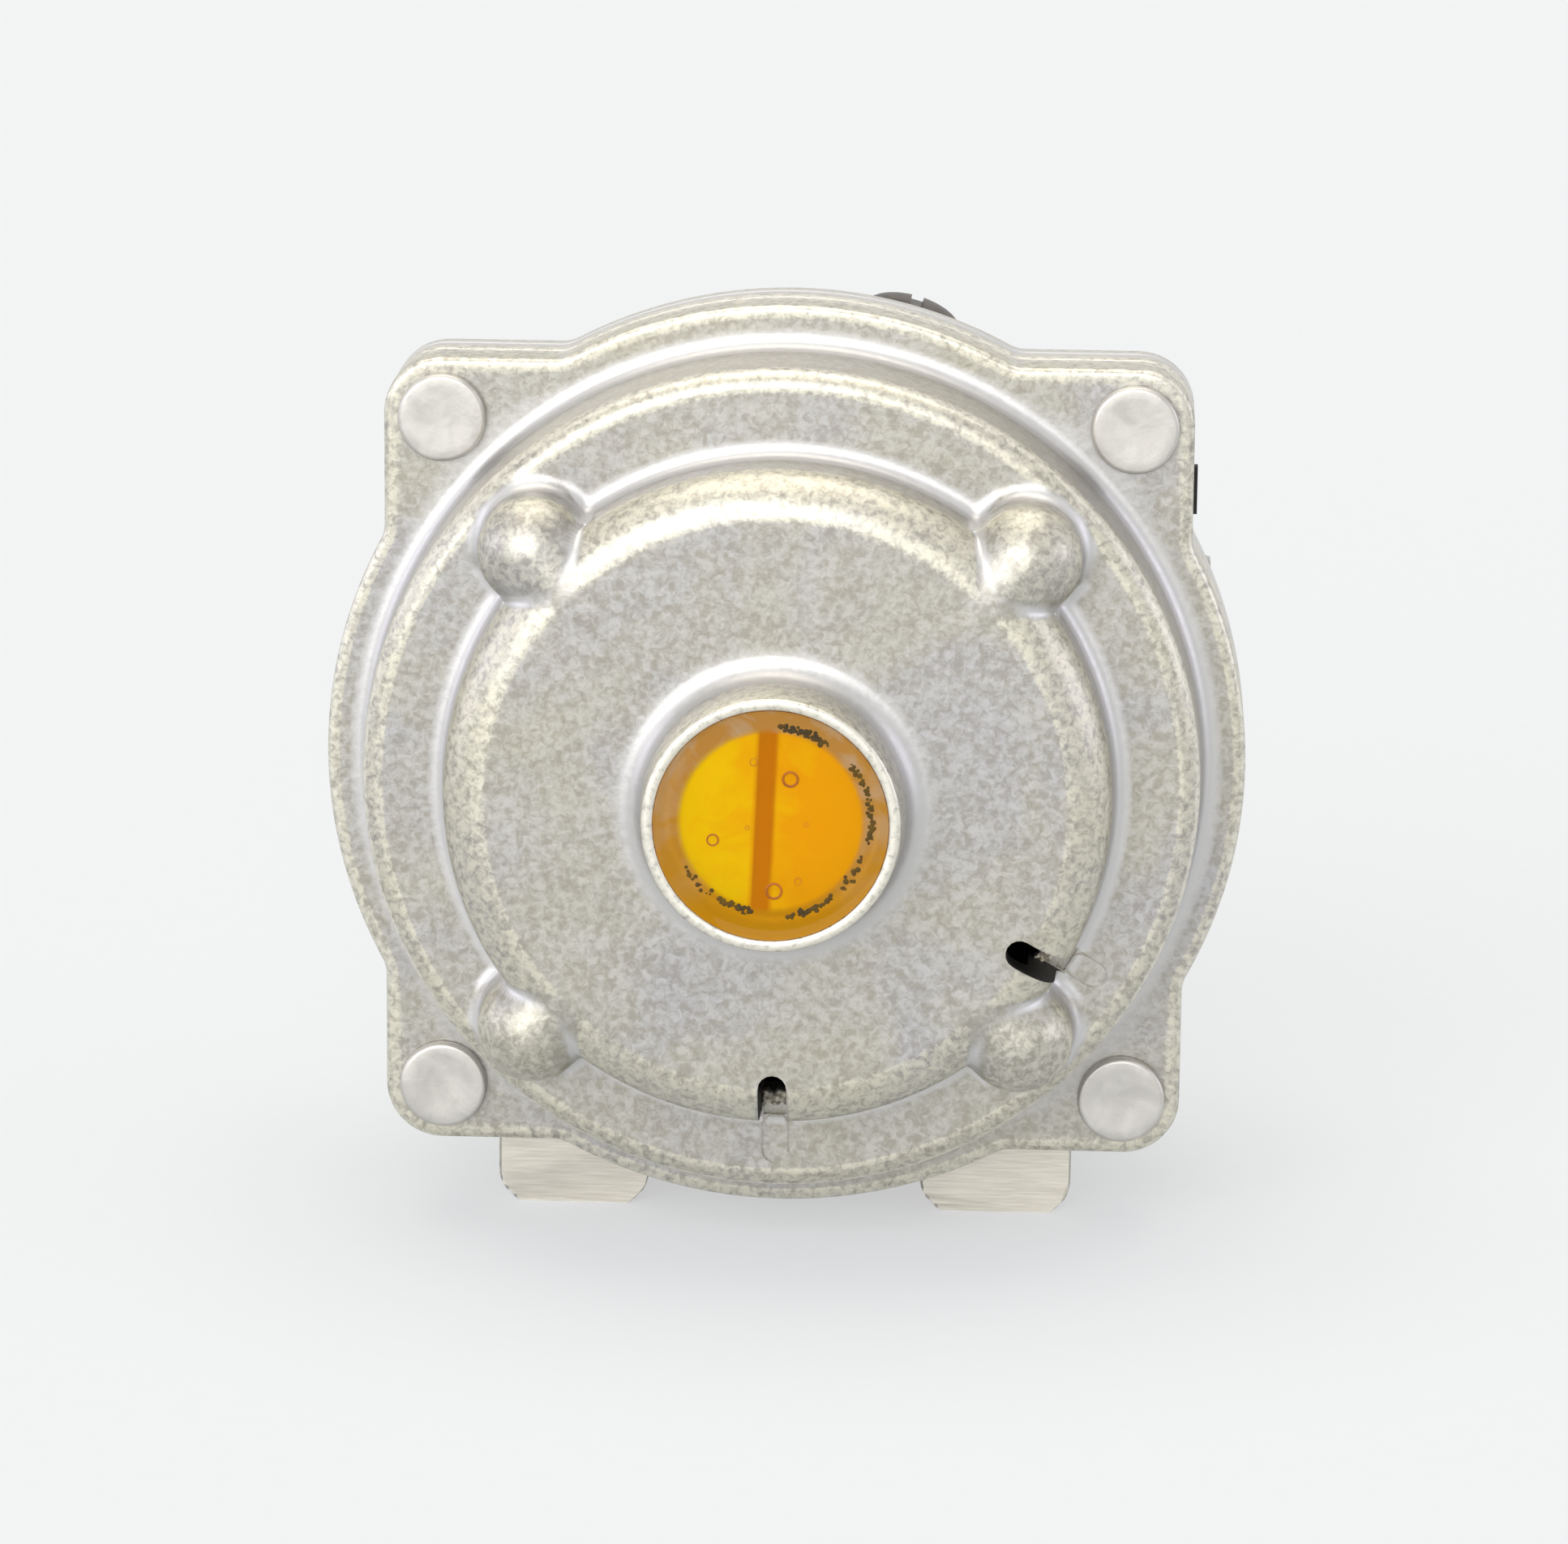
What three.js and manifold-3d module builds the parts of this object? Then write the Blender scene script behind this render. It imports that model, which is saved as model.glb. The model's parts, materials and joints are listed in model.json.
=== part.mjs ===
// Low-pressure gas regulator: a die-cast cover and body riveted together over a rubber diaphragm.
// A spring pushes the diaphragm in and opens the valve; outlet pressure pushes it out, and a bell crank
// then closes the valve on its orifice. The adjusting screw is potted in resin.
//
// All lengths are in millimetres. Inside the model x runs to the right and z up from the housing's centre
// line, and the depth y is zero on the front face of the cover's flange and grows to the rear.

import * as THREE from 'three';
import { mergeVertices } from 'three/addons/utils/BufferGeometryUtils.js';
import Module from 'manifold-3d';

const wasm = await Module();
wasm.setup();

// Flanges
const rimRadius = 32.5;
const rimOverhang = 4.1; // how far the round rim stands out past the square's sides
const flangeCornerRadius = 4;
const flangeBlendRadius = 2.5;
const coverFlangeThickness = 3.4;
const bodyFlangeThickness = 3.9;

// Cover, with heights measured forward from the flange's front face
const coverWall = 2.3;
const rimWidth = 3; // from the rim to the wall of the shelf
const shelfHeight = 7.8;
const shelfWidth = 6.2; // from the shelf's wall to the crown's wall
const shelfFillet = 1;
const shelfRounding = 1.3;
const crownRise = 6.6; // from the shelf to the crown
const crownFillet = 0.95;
const crownRounding = 3.2;
const innerRounding = 1.2;
const lobeRadius = 3.9;
const lobeOffset = 0.7; // from the crown's wall out to the lobe's centre
const lobeDrop = 0.5; // from the crown down to the lobe's top
const bossRise = 5.2; // from the crown to the boss's rim
const bossRadius = 8.85;
const bossDraft = 0.35;
const bossFillet = 1.2;
const bossRimWidth = 0.85;
const wellDepth = 4.2;
const sleeveLength = 2.2; // inside the cover, round the adjusting screw
const ventWidth = 2;
const ventReach = 1; // from the crown's flat edge in to the vent's end
const ventAngles = [-90, -30.5];

// Adjusting screw, resin and main spring
const screwRadius = 6.3;
const threadClearance = 0.3;
const screwLength = 6;
const screwSlotWidth = 1.3;
const screwSlotDepth = 1.2;
const screwChamfer = 0.4;
const springRecessWall = 0.7;
const springRecessDepth = 1.5;
const resinDrop = 0.3; // from the boss's rim down to the resin
const resinCover = 1.8; // resin over the screw
const pottingGap = 0.06;
const springWire = 0.9;
const springTurns = 8;
const springClearance = 0.2;
const springSeatGap = 0.05;

// Diaphragm and the parts clamped to it
const diaphragmThickness = 1;
const diaphragmInset = 0.25;
const diaphragmSag = 1; // the centre lies this far behind the clamped edge at rest
const rollRadius = 2.4;
const rollMargin = 0.4;
const diaphragmStroke = 1.8;
const tabWidth = 3.4;
const tabReach = 0.5;
const tabHeight = 19.3;
const plateThickness = 1;
const plateEdgeGap = 1.6;
const plateLip = 1.6;
const seatRingWidth = 0.8;
const seatRingHeight = 1;
const washerRadius = 8;
const washerThickness = 1;
const stemThreadRadius = 1.9;
const stemHoleClearance = 0.15;
const stemCollarRadius = 3.4;
const stemCollarThickness = 1.2;
const stemThickness = 3.2;
const stemSideWall = 1.4;
const stemEndWall = 1.4;
const stemTail = 0.6; // thread that stands past the nut
const nutWall = 1.6;
const nutHeight = 2.6;

// Lever and valve
const leverLongArm = 9.5;
const leverShortArm = 5.2;
const leverWidth = 2.4;
const leverArmThickness = 1.4;
const leverHubRadius = 1.9;
const stemTipRadius = 1;
const valveTipRadius = 1.45;
const leverPlay = 0.15;
const pinRadius = 1;
const pinClearance = 0.1;
const pinEngagement = 3.6; // of the pin in the body on each side of the lever
const pinPlugRadius = 2;
const pinPlugLength = 2.5;
const pinPlugGap = 0.3;
const pinPlugSink = 0.8;
const hubGap = 0.3; // between the lever's hub and the plunger
const slideClearance = 0.15;
const plungerNose = 3.7;
const plungerTail = 3.9;
const plungerFlatDepth = 0.5;
const plungerSlotFloor = 0.2;
const padThickness = 1.5;
const padWall = 0.7;
const padProud = 0.3;
const padFit = 0.08;
const closingGap = 0.08;
const orificeBore = 1.9;
const orificeTipRadius = 1.9;
const orificeTipLength = 1;
const orificeHeadRadius = 4.6;
const orificeHeadThickness = 1.6;
const partitionThickness = 3.4;
const filterThickness = 0.6;
const filterGap = 0.4;
const filterEdgeGap = 0.2;
const filterHoleRadius = 0.55;
const filterRings = [1, 6, 12];

// Body
const bowlStep = 3.5; // from the rim in to the bowl's outside
const bowlWall = 2.6;
const bowlDepth = 9;
const bowlFloor = 3;
const bowlRounding = 2.4;
const stopRadius = 1.6;
const stopGap = 0.25;
const stopCount = 3;
const portBoreRadius = 5.6;
const portWall = 5.4;
const portFloor = 1.5; // between the bowl and the port's bore
const portInset = 2.5; // from the rim in to the port's face
const portChamfer = 0.8;
const outletPassageRadius = 4;
const pocketGap = 1.6;
const pocketFloorGap = 0.5;
const blockWall = 3.2;
const blockSideWall = 3.6;
const blockCornerRadius = 3;
const axisHeight = 34.5;
const footWidth = 10.9;
const footSpread = 15.3; // from the centre line out to each foot's middle
const footHeight = 7.3;
const footChamfer = 1.3;
const footSetback = 0.3; // from the front of the body's flange back to the feet
const footDepth = 24.3;
const footHoleRadius = 2.1;
const footHoleDepth = 8;
const legRadius = 4.4;
const ribThickness = 3;
const ribRise = 24; // from the floor up to the rib's top

// Rivets
const rivetInset = 4.15; // from the square's sides
const rivetShankRadius = 2;
const rivetClearance = 0.15;
const rivetHeadRadius = 3.1;
const rivetHeadHeight = 0.9;
const rivetTailRadius = 2.9;
const rivetTailHeight = 1.2;
const rivetEdge = 0.3;

// Test port
const testPortAngle = 74.6;
const testBossRadius = 4.1;
const testBossLap = 0.3; // of the boss into the flange
const testBossRise = 0.6; // past the bowl's outside
const testThreadRadius = 1.4;
const testThreadLength = 3.4;
const testHoleClearance = 0.2;
const testHeadInset = 0.6;
const testHeadHeight = 2.1;
const testSlotWidth = 0.9;
const testSlotDepth = 0.7;
const sealThickness = 0.5;
const sealFit = 0.1;

// Drawing detail
const mergeDistance = 1e-4;
const cutOverrun = 2;
const largeSides = 48;
const smallSides = 20;
const filterHoleSides = 6;
const arcSteps = 3;
const cornerSteps = 4;
const rimSteps = 8;
const rollSteps = 5;
const springStepsPerTurn = 12;
const springWireSides = 6;

// Depths and radii that follow
const flangeHalfWidth = rimRadius - rimOverhang;
const rivetOffset = flangeHalfWidth - rivetInset;
const bodyFrontDepth = coverFlangeThickness + diaphragmThickness;
const bodyFlangeRear = bodyFrontDepth + bodyFlangeThickness;
const shelfWallRadius = rimRadius - rimWidth;
const crownWallRadius = shelfWallRadius - shelfWidth;
const crownHeight = shelfHeight + crownRise;
const bossHeight = crownHeight + bossRise;
const wellRadius = bossRadius - bossRimWidth;
const wellFloorHeight = bossHeight - wellDepth;
const innerCrownHeight = crownHeight - coverWall;
const innerShelfHeight = shelfHeight - coverWall;
const screwBoreRadius = screwRadius + threadClearance;
const sleeveRadius = screwBoreRadius + coverWall;
const resinTopHeight = bossHeight - resinDrop;
const screwTopHeight = resinTopHeight - resinCover;
const screwFootHeight = screwTopHeight - screwLength;
const springRecessRadius = screwRadius - springRecessWall;
const springRadius = springRecessRadius - springClearance - springWire / 2;

const clampMiddleDepth = coverFlangeThickness + diaphragmThickness / 2;
const bowlRadius = rimRadius - bowlStep;
const clampRadius = bowlRadius - bowlWall;
const bowlFloorDepth = bodyFrontDepth + bowlDepth;
const rollCentreRadius = clampRadius - rollMargin - diaphragmThickness / 2 - rollRadius;
const discRadius = rollCentreRadius - rollRadius - diaphragmThickness / 2;
const discMiddleDepth = clampMiddleDepth + diaphragmSag;
const plateRearDepth = discMiddleDepth - diaphragmThickness / 2;
const plateFrontDepth = plateRearDepth - plateThickness;
const plateRadius = discRadius - plateEdgeGap;
const washerFrontDepth = discMiddleDepth + diaphragmThickness / 2;
const washerRearDepth = washerFrontDepth + washerThickness;
const stemHoleRadius = stemThreadRadius + stemHoleClearance;

const portAxisDepth = bowlFloorDepth + portFloor + portBoreRadius;
const portBossRadius = portBoreRadius + portWall;
const portFace = rimRadius - portInset;
const pivotX = -leverLongArm;
const pivotDepth = portAxisDepth + leverShortArm;
const windowHalfDepth = stemTipRadius + leverPlay;
const windowHalfWidth = leverWidth / 2 + leverPlay * 2;
const stemHalfWidth = windowHalfWidth + stemSideWall;
const stemEndDepth = pivotDepth + windowHalfDepth + stemEndWall;
const pocketHalfX = stemThickness / 2 + pocketGap;
const pocketHalfZ = stemHalfWidth + pocketGap;
const pocketFloorDepth = stemEndDepth + pocketFloorGap;
const blockRearDepth = pocketFloorDepth + blockWall;
const plungerRadius = leverShortArm - leverHubRadius - hubGap;
const valveBoreRadius = plungerRadius + slideClearance;
const plungerSlotHalf = valveTipRadius + leverPlay;
const plungerFront = pivotX - plungerNose;
const plungerRear = pivotX + plungerTail;
const valveTravel = diaphragmStroke * leverShortArm / leverLongArm;
const padFace = plungerFront - padProud;
const orificeTip = padFace - valveTravel - closingGap;
const orificeShoulder = orificeTip - orificeTipLength;
const partitionFace = orificeShoulder - partitionThickness;
const filterFace = partitionFace - orificeHeadThickness - filterGap;
const leverSlotEnd = pivotX - leverHubRadius - pocketFloorGap;
const leverSlotHalfWidth = leverWidth / 2 + leverPlay * 3;
const pinHalfLength = leverSlotHalfWidth + pinEngagement;
const testPortDepth = bodyFlangeRear - testBossLap + testBossRadius;
const testSeatRadius = bowlRadius + testBossRise;

// A closed geometry as a solid for joining and cutting, whichever way its faces were drawn.
function solidOf(geometry) {
  geometry.deleteAttribute('normal');
  geometry.deleteAttribute('uv');
  const merged = mergeVertices(geometry, mergeDistance);
  const positions = merged.attributes.position.array;
  const corner = (index) => new THREE.Vector3().fromArray(positions, index * 3);
  const triangles = [];
  let volume = 0;
  for (let i = 0; i < merged.index.count; i += 3) {
    const [a, b, c] = [0, 1, 2].map((step) => merged.index.array[i + step]);
    if (a === b || b === c || c === a) continue;
    triangles.push([a, b, c]);
    volume += corner(a).dot(corner(b).cross(corner(c)));
  }
  const facing = volume < 0 ? triangles.map(([a, b, c]) => [a, c, b]) : triangles;
  return new wasm.Manifold(new wasm.Mesh({
    numProp: 3,
    vertProperties: new Float32Array(positions),
    triVerts: new Uint32Array(facing.flat()),
  }));
}

// Quarter turns that carry the y axis onto each axis.
const ontoAxis = {
  x: new THREE.Matrix4().set(0, 1, 0, 0, -1, 0, 0, 0, 0, 0, 1, 0, 0, 0, 0, 1),
  y: new THREE.Matrix4(),
  z: new THREE.Matrix4().set(1, 0, 0, 0, 0, 0, -1, 0, 0, 1, 0, 0, 0, 0, 0, 1),
};

// A profile of [radius, station] points turned about a line along the axis through a point.
function turned(profile, sides, axis = 'y', at = [0, 0, 0]) {
  const points = profile.map(([radius, station]) => new THREE.Vector2(radius, station));
  const geometry = new THREE.LatheGeometry(points, sides);
  return solidOf(geometry.applyMatrix4(ontoAxis[axis]).translate(...at));
}

function rod(radius, from, to, axis = 'y', at = [0, 0, 0], sides = smallSides) {
  return turned([[0, from], [radius, from], [radius, to], [0, to]], sides, axis, at);
}

function tube(inner, outer, from, to, axis = 'y', at = [0, 0, 0], sides = smallSides) {
  const section = [[inner, from], [outer, from], [outer, to], [inner, to], [inner, from]];
  return turned(section, sides, axis, at);
}

// Each corner of a unit box is put exactly on the limits, so that faces meant to lie in one plane do.
function block(...limits) {
  const geometry = new THREE.BoxGeometry();
  const { array } = geometry.attributes.position;
  array.forEach((value, i) => {
    array[i] = limits[i % 3][value > 0 ? 1 : 0];
  });
  return solidOf(geometry);
}

// A closed outline of [x, z] points carried from one depth to another.
function prism(outline, from, to) {
  const shape = new THREE.Shape(outline.map(([x, z]) => new THREE.Vector2(x, z)));
  const geometry = new THREE.ExtrudeGeometry(shape, { depth: 1, bevelEnabled: false });
  const places = geometry.attributes.position;
  for (let i = 0; i < places.count; i += 1) {
    places.setXYZ(i, places.getX(i), places.getZ(i) > 0 ? from : to, places.getY(i));
  }
  return solidOf(geometry);
}

function arc([centreX, centreY], radius, fromDegrees, toDegrees, steps = arcSteps) {
  return Array.from({ length: steps + 1 }, (_, step) => {
    const angle = THREE.MathUtils.degToRad(fromDegrees + (toDegrees - fromDegrees) * step / steps);
    return [centreX + radius * Math.cos(angle), centreY + radius * Math.sin(angle)];
  });
}

function joined(...solids) {
  return solids.reduce((whole, solid) => whole.add(solid));
}

function cut(whole, ...tools) {
  return tools.reduce((left, tool) => left.subtract(tool), whole);
}

function aroundAxis(radius, degrees) {
  const angle = THREE.MathUtils.degToRad(degrees);
  return [radius * Math.cos(angle), radius * Math.sin(angle)];
}

// The square flange with rounded corners, swelling into the round rim in the middle of each side.
function flangeOutline(inset = 0) {
  const side = flangeHalfWidth - inset;
  const rim = rimRadius - inset;
  const blend = flangeBlendRadius + inset;
  const cornerCentre = flangeHalfWidth - flangeCornerRadius;
  const corner = flangeCornerRadius - inset;
  const blendCentre = side + blend;
  const blendAlong = Math.sqrt((rim + blend) ** 2 - blendCentre ** 2);
  const rimHalfAngle = THREE.MathUtils.radToDeg(Math.atan2(blendAlong, blendCentre));
  const quarter = [
    ...arc([0, 0], rim, -rimHalfAngle, rimHalfAngle, rimSteps),
    ...arc([blendCentre, blendAlong], blend, 180 + rimHalfAngle, 180).slice(1),
    ...arc([cornerCentre, cornerCentre], corner, 0, 90, cornerSteps),
    ...arc([blendAlong, blendCentre], blend, 270, 270 - rimHalfAngle).slice(0, -1),
  ];
  return [0, 1, 2, 3].flatMap((turns) => quarter.map(([x, z]) => {
    const [cos, sin] = aroundAxis(1, turns * 90);
    return [x * cos - z * sin, x * sin + z * cos];
  }));
}

// A rectangle with rounded corners, as points [x, z].
function roundedRectangle([xMin, xMax], [zMin, zMax], radius) {
  return [
    ...arc([xMax - radius, zMin + radius], radius, -90, 0),
    ...arc([xMax - radius, zMax - radius], radius, 0, 90),
    ...arc([xMin + radius, zMax - radius], radius, 90, 180),
    ...arc([xMin + radius, zMin + radius], radius, 180, 270),
  ];
}

const rivetPlaces = {
  top_left: [-rivetOffset, rivetOffset],
  top_right: [rivetOffset, rivetOffset],
  bottom_left: [-rivetOffset, -rivetOffset],
  bottom_right: [rivetOffset, -rivetOffset],
};

function rivetHoles(from, to) {
  const radius = rivetShankRadius + rivetClearance;
  return Object.values(rivetPlaces).map(([x, z]) => rod(radius, from, to, 'y', [x, 0, z]));
}

// Outside of the cover's dome: boss, crown and shelf, from the boss's rim out to the flange.
function domeProfile() {
  const bossRoot = bossRadius + bossDraft;
  return [
    [0, -bossHeight],
    [bossRadius, -bossHeight],
    ...arc([bossRoot + bossFillet, -crownHeight - bossFillet], bossFillet, 180, 90),
    ...arc([crownWallRadius - crownRounding, crownRounding - crownHeight], crownRounding, -90, 0),
    ...arc([crownWallRadius + crownFillet, -shelfHeight - crownFillet], crownFillet, 180, 90),
    ...arc([shelfWallRadius - shelfRounding, shelfRounding - shelfHeight], shelfRounding, -90, 0),
    ...arc([shelfWallRadius + shelfFillet, -shelfFillet], shelfFillet, 180, 90),
    [shelfWallRadius + shelfFillet, coverFlangeThickness / 2],
    [0, coverFlangeThickness / 2],
  ];
}

// The space inside the dome, with the sleeve of the adjusting screw left standing in it.
function domeCavityProfile() {
  const shelf = shelfWallRadius - coverWall;
  const crown = crownWallRadius - coverWall;
  const sleeveFoot = sleeveLength - innerCrownHeight;
  return [
    [0, sleeveFoot],
    [sleeveRadius, sleeveFoot],
    [sleeveRadius, -innerCrownHeight],
    ...arc([crown - innerRounding, innerRounding - innerCrownHeight], innerRounding, -90, 0),
    [crown, -innerShelfHeight],
    ...arc([shelf - innerRounding, innerRounding - innerShelfHeight], innerRounding, -90, 0),
    [shelf, coverFlangeThickness + cutOverrun],
    [0, coverFlangeThickness + cutOverrun],
  ];
}

// A ball-ended lobe on the crown's wall.
function lobe(degrees) {
  const [x, z] = aroundAxis(crownWallRadius + lobeOffset, degrees);
  const ballHeight = crownHeight - lobeDrop - lobeRadius;
  const profile = [
    [0, -innerShelfHeight],
    [lobeRadius, -innerShelfHeight],
    ...arc([0, -ballHeight], lobeRadius, 0, -90),
  ];
  return turned(profile, smallSides, 'y', [x, 0, z]);
}

// A radial slot with a round inner end, cut straight back to the level of the shelf.
function ventCutter(degrees) {
  const inner = crownWallRadius - crownRounding - ventReach;
  const outer = crownWallRadius + crownFillet;
  const half = ventWidth / 2;
  const outline = [...arc([inner + half, 0], half, 90, 270), [outer, -half], [outer, half]];
  const [cos, sin] = aroundAxis(1, degrees);
  const placed = outline.map(([along, across]) => [
    along * cos - across * sin,
    along * sin + across * cos,
  ]);
  return prism(placed, -crownHeight - cutOverrun, -shelfHeight);
}

function bonnetCover() {
  const lobes = [45, 135, 225, 315].map(lobe);
  const outside = joined(
    prism(flangeOutline(), 0, coverFlangeThickness),
    turned(domeProfile(), largeSides),
    ...lobes,
  );
  return cut(
    outside,
    turned(domeCavityProfile(), largeSides),
    rod(screwBoreRadius, -bossHeight - cutOverrun, coverFlangeThickness, 'y', [0, 0, 0], largeSides),
    rod(wellRadius, -bossHeight - cutOverrun, -wellFloorHeight, 'y', [0, 0, 0], largeSides),
    ...ventAngles.map(ventCutter),
    ...rivetHoles(-cutOverrun, coverFlangeThickness + cutOverrun),
  );
}

function screwSlot(width, from, to) {
  return block([-width / 2, width / 2], [from, to], [-screwRadius - cutOverrun, screwRadius + cutOverrun]);
}

function adjustingScrew() {
  const body = turned([
    [0, -screwTopHeight],
    [screwRadius - screwChamfer, -screwTopHeight],
    [screwRadius, screwChamfer - screwTopHeight],
    [screwRadius, -screwFootHeight],
    [0, -screwFootHeight],
  ], largeSides);
  return cut(
    body,
    screwSlot(screwSlotWidth, -screwTopHeight - cutOverrun, screwSlotDepth - screwTopHeight),
    rod(springRecessRadius, -screwFootHeight - springRecessDepth, -screwFootHeight + cutOverrun),
  );
}

// Potting that fills the well over and round the screw's top, and its slot.
function resinSeal() {
  const outer = wellRadius - pottingGap;
  const filling = rod(outer, -resinTopHeight, -wellFloorHeight, 'y', [0, 0, 0], largeSides);
  const screwHollow = rod(
    screwRadius + pottingGap, -screwTopHeight - pottingGap, -wellFloorHeight + cutOverrun,
    'y', [0, 0, 0], largeSides,
  );
  const fin = block(
    [pottingGap - screwSlotWidth / 2, screwSlotWidth / 2 - pottingGap],
    [-screwTopHeight - resinCover / 2, screwSlotDepth - screwTopHeight - pottingGap],
    [-screwRadius, screwRadius],
  );
  return joined(cut(filling, screwHollow), fin);
}

// A round wire wound along the housing's centre line between the screw and the plate, ends cut square.
function mainSpring() {
  const start = -screwFootHeight - springRecessDepth + springSeatGap + springWire / 2;
  const end = plateFrontDepth - springSeatGap - springWire / 2;
  const rings = springTurns * springStepsPerTurn;
  const positions = [];
  for (let ring = 0; ring <= rings; ring += 1) {
    const [cos, sin] = aroundAxis(1, 360 * ring / springStepsPerTurn);
    const depth = start + (end - start) * ring / rings;
    for (let side = 0; side < springWireSides; side += 1) {
      const [out, along] = aroundAxis(springWire / 2, 360 * side / springWireSides);
      positions.push((springRadius + out) * cos, depth + along, (springRadius + out) * sin);
    }
  }
  const index = [];
  for (let ring = 0; ring < rings; ring += 1) {
    for (let side = 0; side < springWireSides; side += 1) {
      const here = ring * springWireSides + side;
      const next = ring * springWireSides + (side + 1) % springWireSides;
      index.push(here, next, here + springWireSides, next, next + springWireSides, here + springWireSides);
    }
  }
  const last = rings * springWireSides;
  for (let side = 1; side < springWireSides - 1; side += 1) {
    index.push(0, side + 1, side, last, last + side, last + side + 1);
  }
  const geometry = new THREE.BufferGeometry();
  geometry.setAttribute('position', new THREE.Float32BufferAttribute(positions, 3));
  geometry.setIndex(index);
  return solidOf(geometry);
}

// A rubber sheet cut to the flange's outline, with one rolled convolution and a small tab at the right.
function diaphragm() {
  const half = diaphragmThickness / 2;
  const front = coverFlangeThickness;
  const rear = bodyFrontDepth;
  const discFront = discMiddleDepth - half;
  const discRear = discMiddleDepth + half;
  const rollOuter = rollRadius + half;
  const rollInner = rollRadius - half;
  const rollEnd = -THREE.MathUtils.radToDeg(Math.asin(half / rollOuter));
  const middle = [rollCentreRadius, clampMiddleDepth];
  const rolled = turned([
    [stemHoleRadius, discFront],
    [discRadius - rollMargin, discFront],
    ...arc(middle, rollOuter, -180, rollEnd, rollSteps),
    [clampRadius, front],
    [clampRadius, rear],
    [rollCentreRadius + rollInner + half, rear],
    ...arc(middle, rollInner, 0, -180, rollSteps),
    [discRadius + half, discRear],
    [stemHoleRadius, discRear],
    [stemHoleRadius, discFront],
  ], largeSides);
  const tab = block(
    [flangeHalfWidth - tabWidth, flangeHalfWidth + tabReach],
    [front, rear],
    [tabHeight - tabWidth / 2, tabHeight + tabWidth / 2],
  );
  const sheet = cut(
    joined(prism(flangeOutline(diaphragmInset), front, rear), tab),
    rod(clampRadius - rollMargin / 2, front - cutOverrun, rear + cutOverrun, 'y', [0, 0, 0], largeSides),
    ...rivetHoles(front - cutOverrun, rear + cutOverrun),
  );
  return joined(sheet, rolled);
}

// A dished plate with an upturned edge, and a low ring that centres the spring.
function diaphragmPlate() {
  const seatRing = springRadius + springWire / 2 + springClearance;
  return turned([
    [stemHoleRadius, plateRearDepth],
    [stemHoleRadius, plateFrontDepth],
    [seatRing, plateFrontDepth],
    [seatRing, plateFrontDepth - seatRingHeight],
    [seatRing + seatRingWidth, plateFrontDepth - seatRingHeight],
    [seatRing + seatRingWidth, plateFrontDepth],
    [plateRadius - plateThickness, plateFrontDepth],
    [plateRadius - plateThickness, plateFrontDepth - plateLip],
    [plateRadius, plateFrontDepth - plateLip],
    [plateRadius, plateRearDepth],
    [stemHoleRadius, plateRearDepth],
  ], largeSides);
}

function diaphragmWasher() {
  return tube(stemHoleRadius, washerRadius, washerFrontDepth, washerRearDepth);
}

// Threaded top, round collar and a flat post whose window carries the lever's tip.
function stem() {
  const half = stemThickness / 2;
  const threadEnd = plateFrontDepth - nutHeight - stemTail;
  const collarRear = washerRearDepth + stemCollarThickness;
  const post = block([-half, half], [washerRearDepth, stemEndDepth], [-stemHalfWidth, stemHalfWidth]);
  const window = block(
    [-half - cutOverrun, half + cutOverrun],
    [pivotDepth - windowHalfDepth, pivotDepth + windowHalfDepth],
    [-windowHalfWidth, windowHalfWidth],
  );
  return cut(
    joined(
      rod(stemThreadRadius, threadEnd, washerRearDepth + stemCollarThickness / 2),
      rod(stemCollarRadius, washerRearDepth, collarRear),
      post,
    ),
    window,
  );
}

function stemNut() {
  const corner = (stemHoleRadius + nutWall) / Math.cos(Math.PI / 6);
  const top = plateFrontDepth - nutHeight;
  const hexagon = rod(corner, top, plateFrontDepth, 'y', [0, 0, 0], 6);
  return cut(hexagon, rod(stemHoleRadius, top - cutOverrun, plateFrontDepth + cutOverrun));
}

// Bell crank: a hub on the pin, a short arm forward into the plunger and a long arm to the stem.
function lever() {
  const halfWidth = leverWidth / 2;
  const halfArm = leverArmThickness / 2;
  const across = [-halfWidth, halfWidth];
  const pivot = [pivotX, pivotDepth, 0];
  const crank = joined(
    rod(leverHubRadius, ...across, 'z', pivot),
    block([pivotX, 0], [pivotDepth - halfArm, pivotDepth + halfArm], across),
    rod(stemTipRadius, ...across, 'z', [0, pivotDepth, 0]),
    block([pivotX - halfArm, pivotX + halfArm], [portAxisDepth, pivotDepth], across),
    rod(valveTipRadius, ...across, 'z', [pivotX, portAxisDepth, 0]),
  );
  return cut(crank, rod(pinRadius + pinClearance, -leverWidth, leverWidth, 'z', pivot));
}

function leverPin() {
  return rod(pinRadius, -pinHalfLength, pinHalfLength, 'z', [pivotX, pivotDepth, 0]);
}

// The outside of the round port boss over the pin, where the plug screws in.
function pinPlugTop() {
  return Math.sqrt(portBossRadius ** 2 - leverShortArm ** 2) - pinPlugSink;
}

function pinPlug() {
  const top = pinPlugTop();
  const at = [pivotX, pivotDepth, 0];
  const body = rod(pinPlugRadius, top - pinPlugLength, top, 'z', at);
  const slot = block(
    [pivotX - testSlotWidth / 2, pivotX + testSlotWidth / 2],
    [pivotDepth - pinPlugRadius - cutOverrun, pivotDepth + pinPlugRadius + cutOverrun],
    [top - testSlotDepth, top + cutOverrun],
  );
  return cut(body, slot);
}

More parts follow.
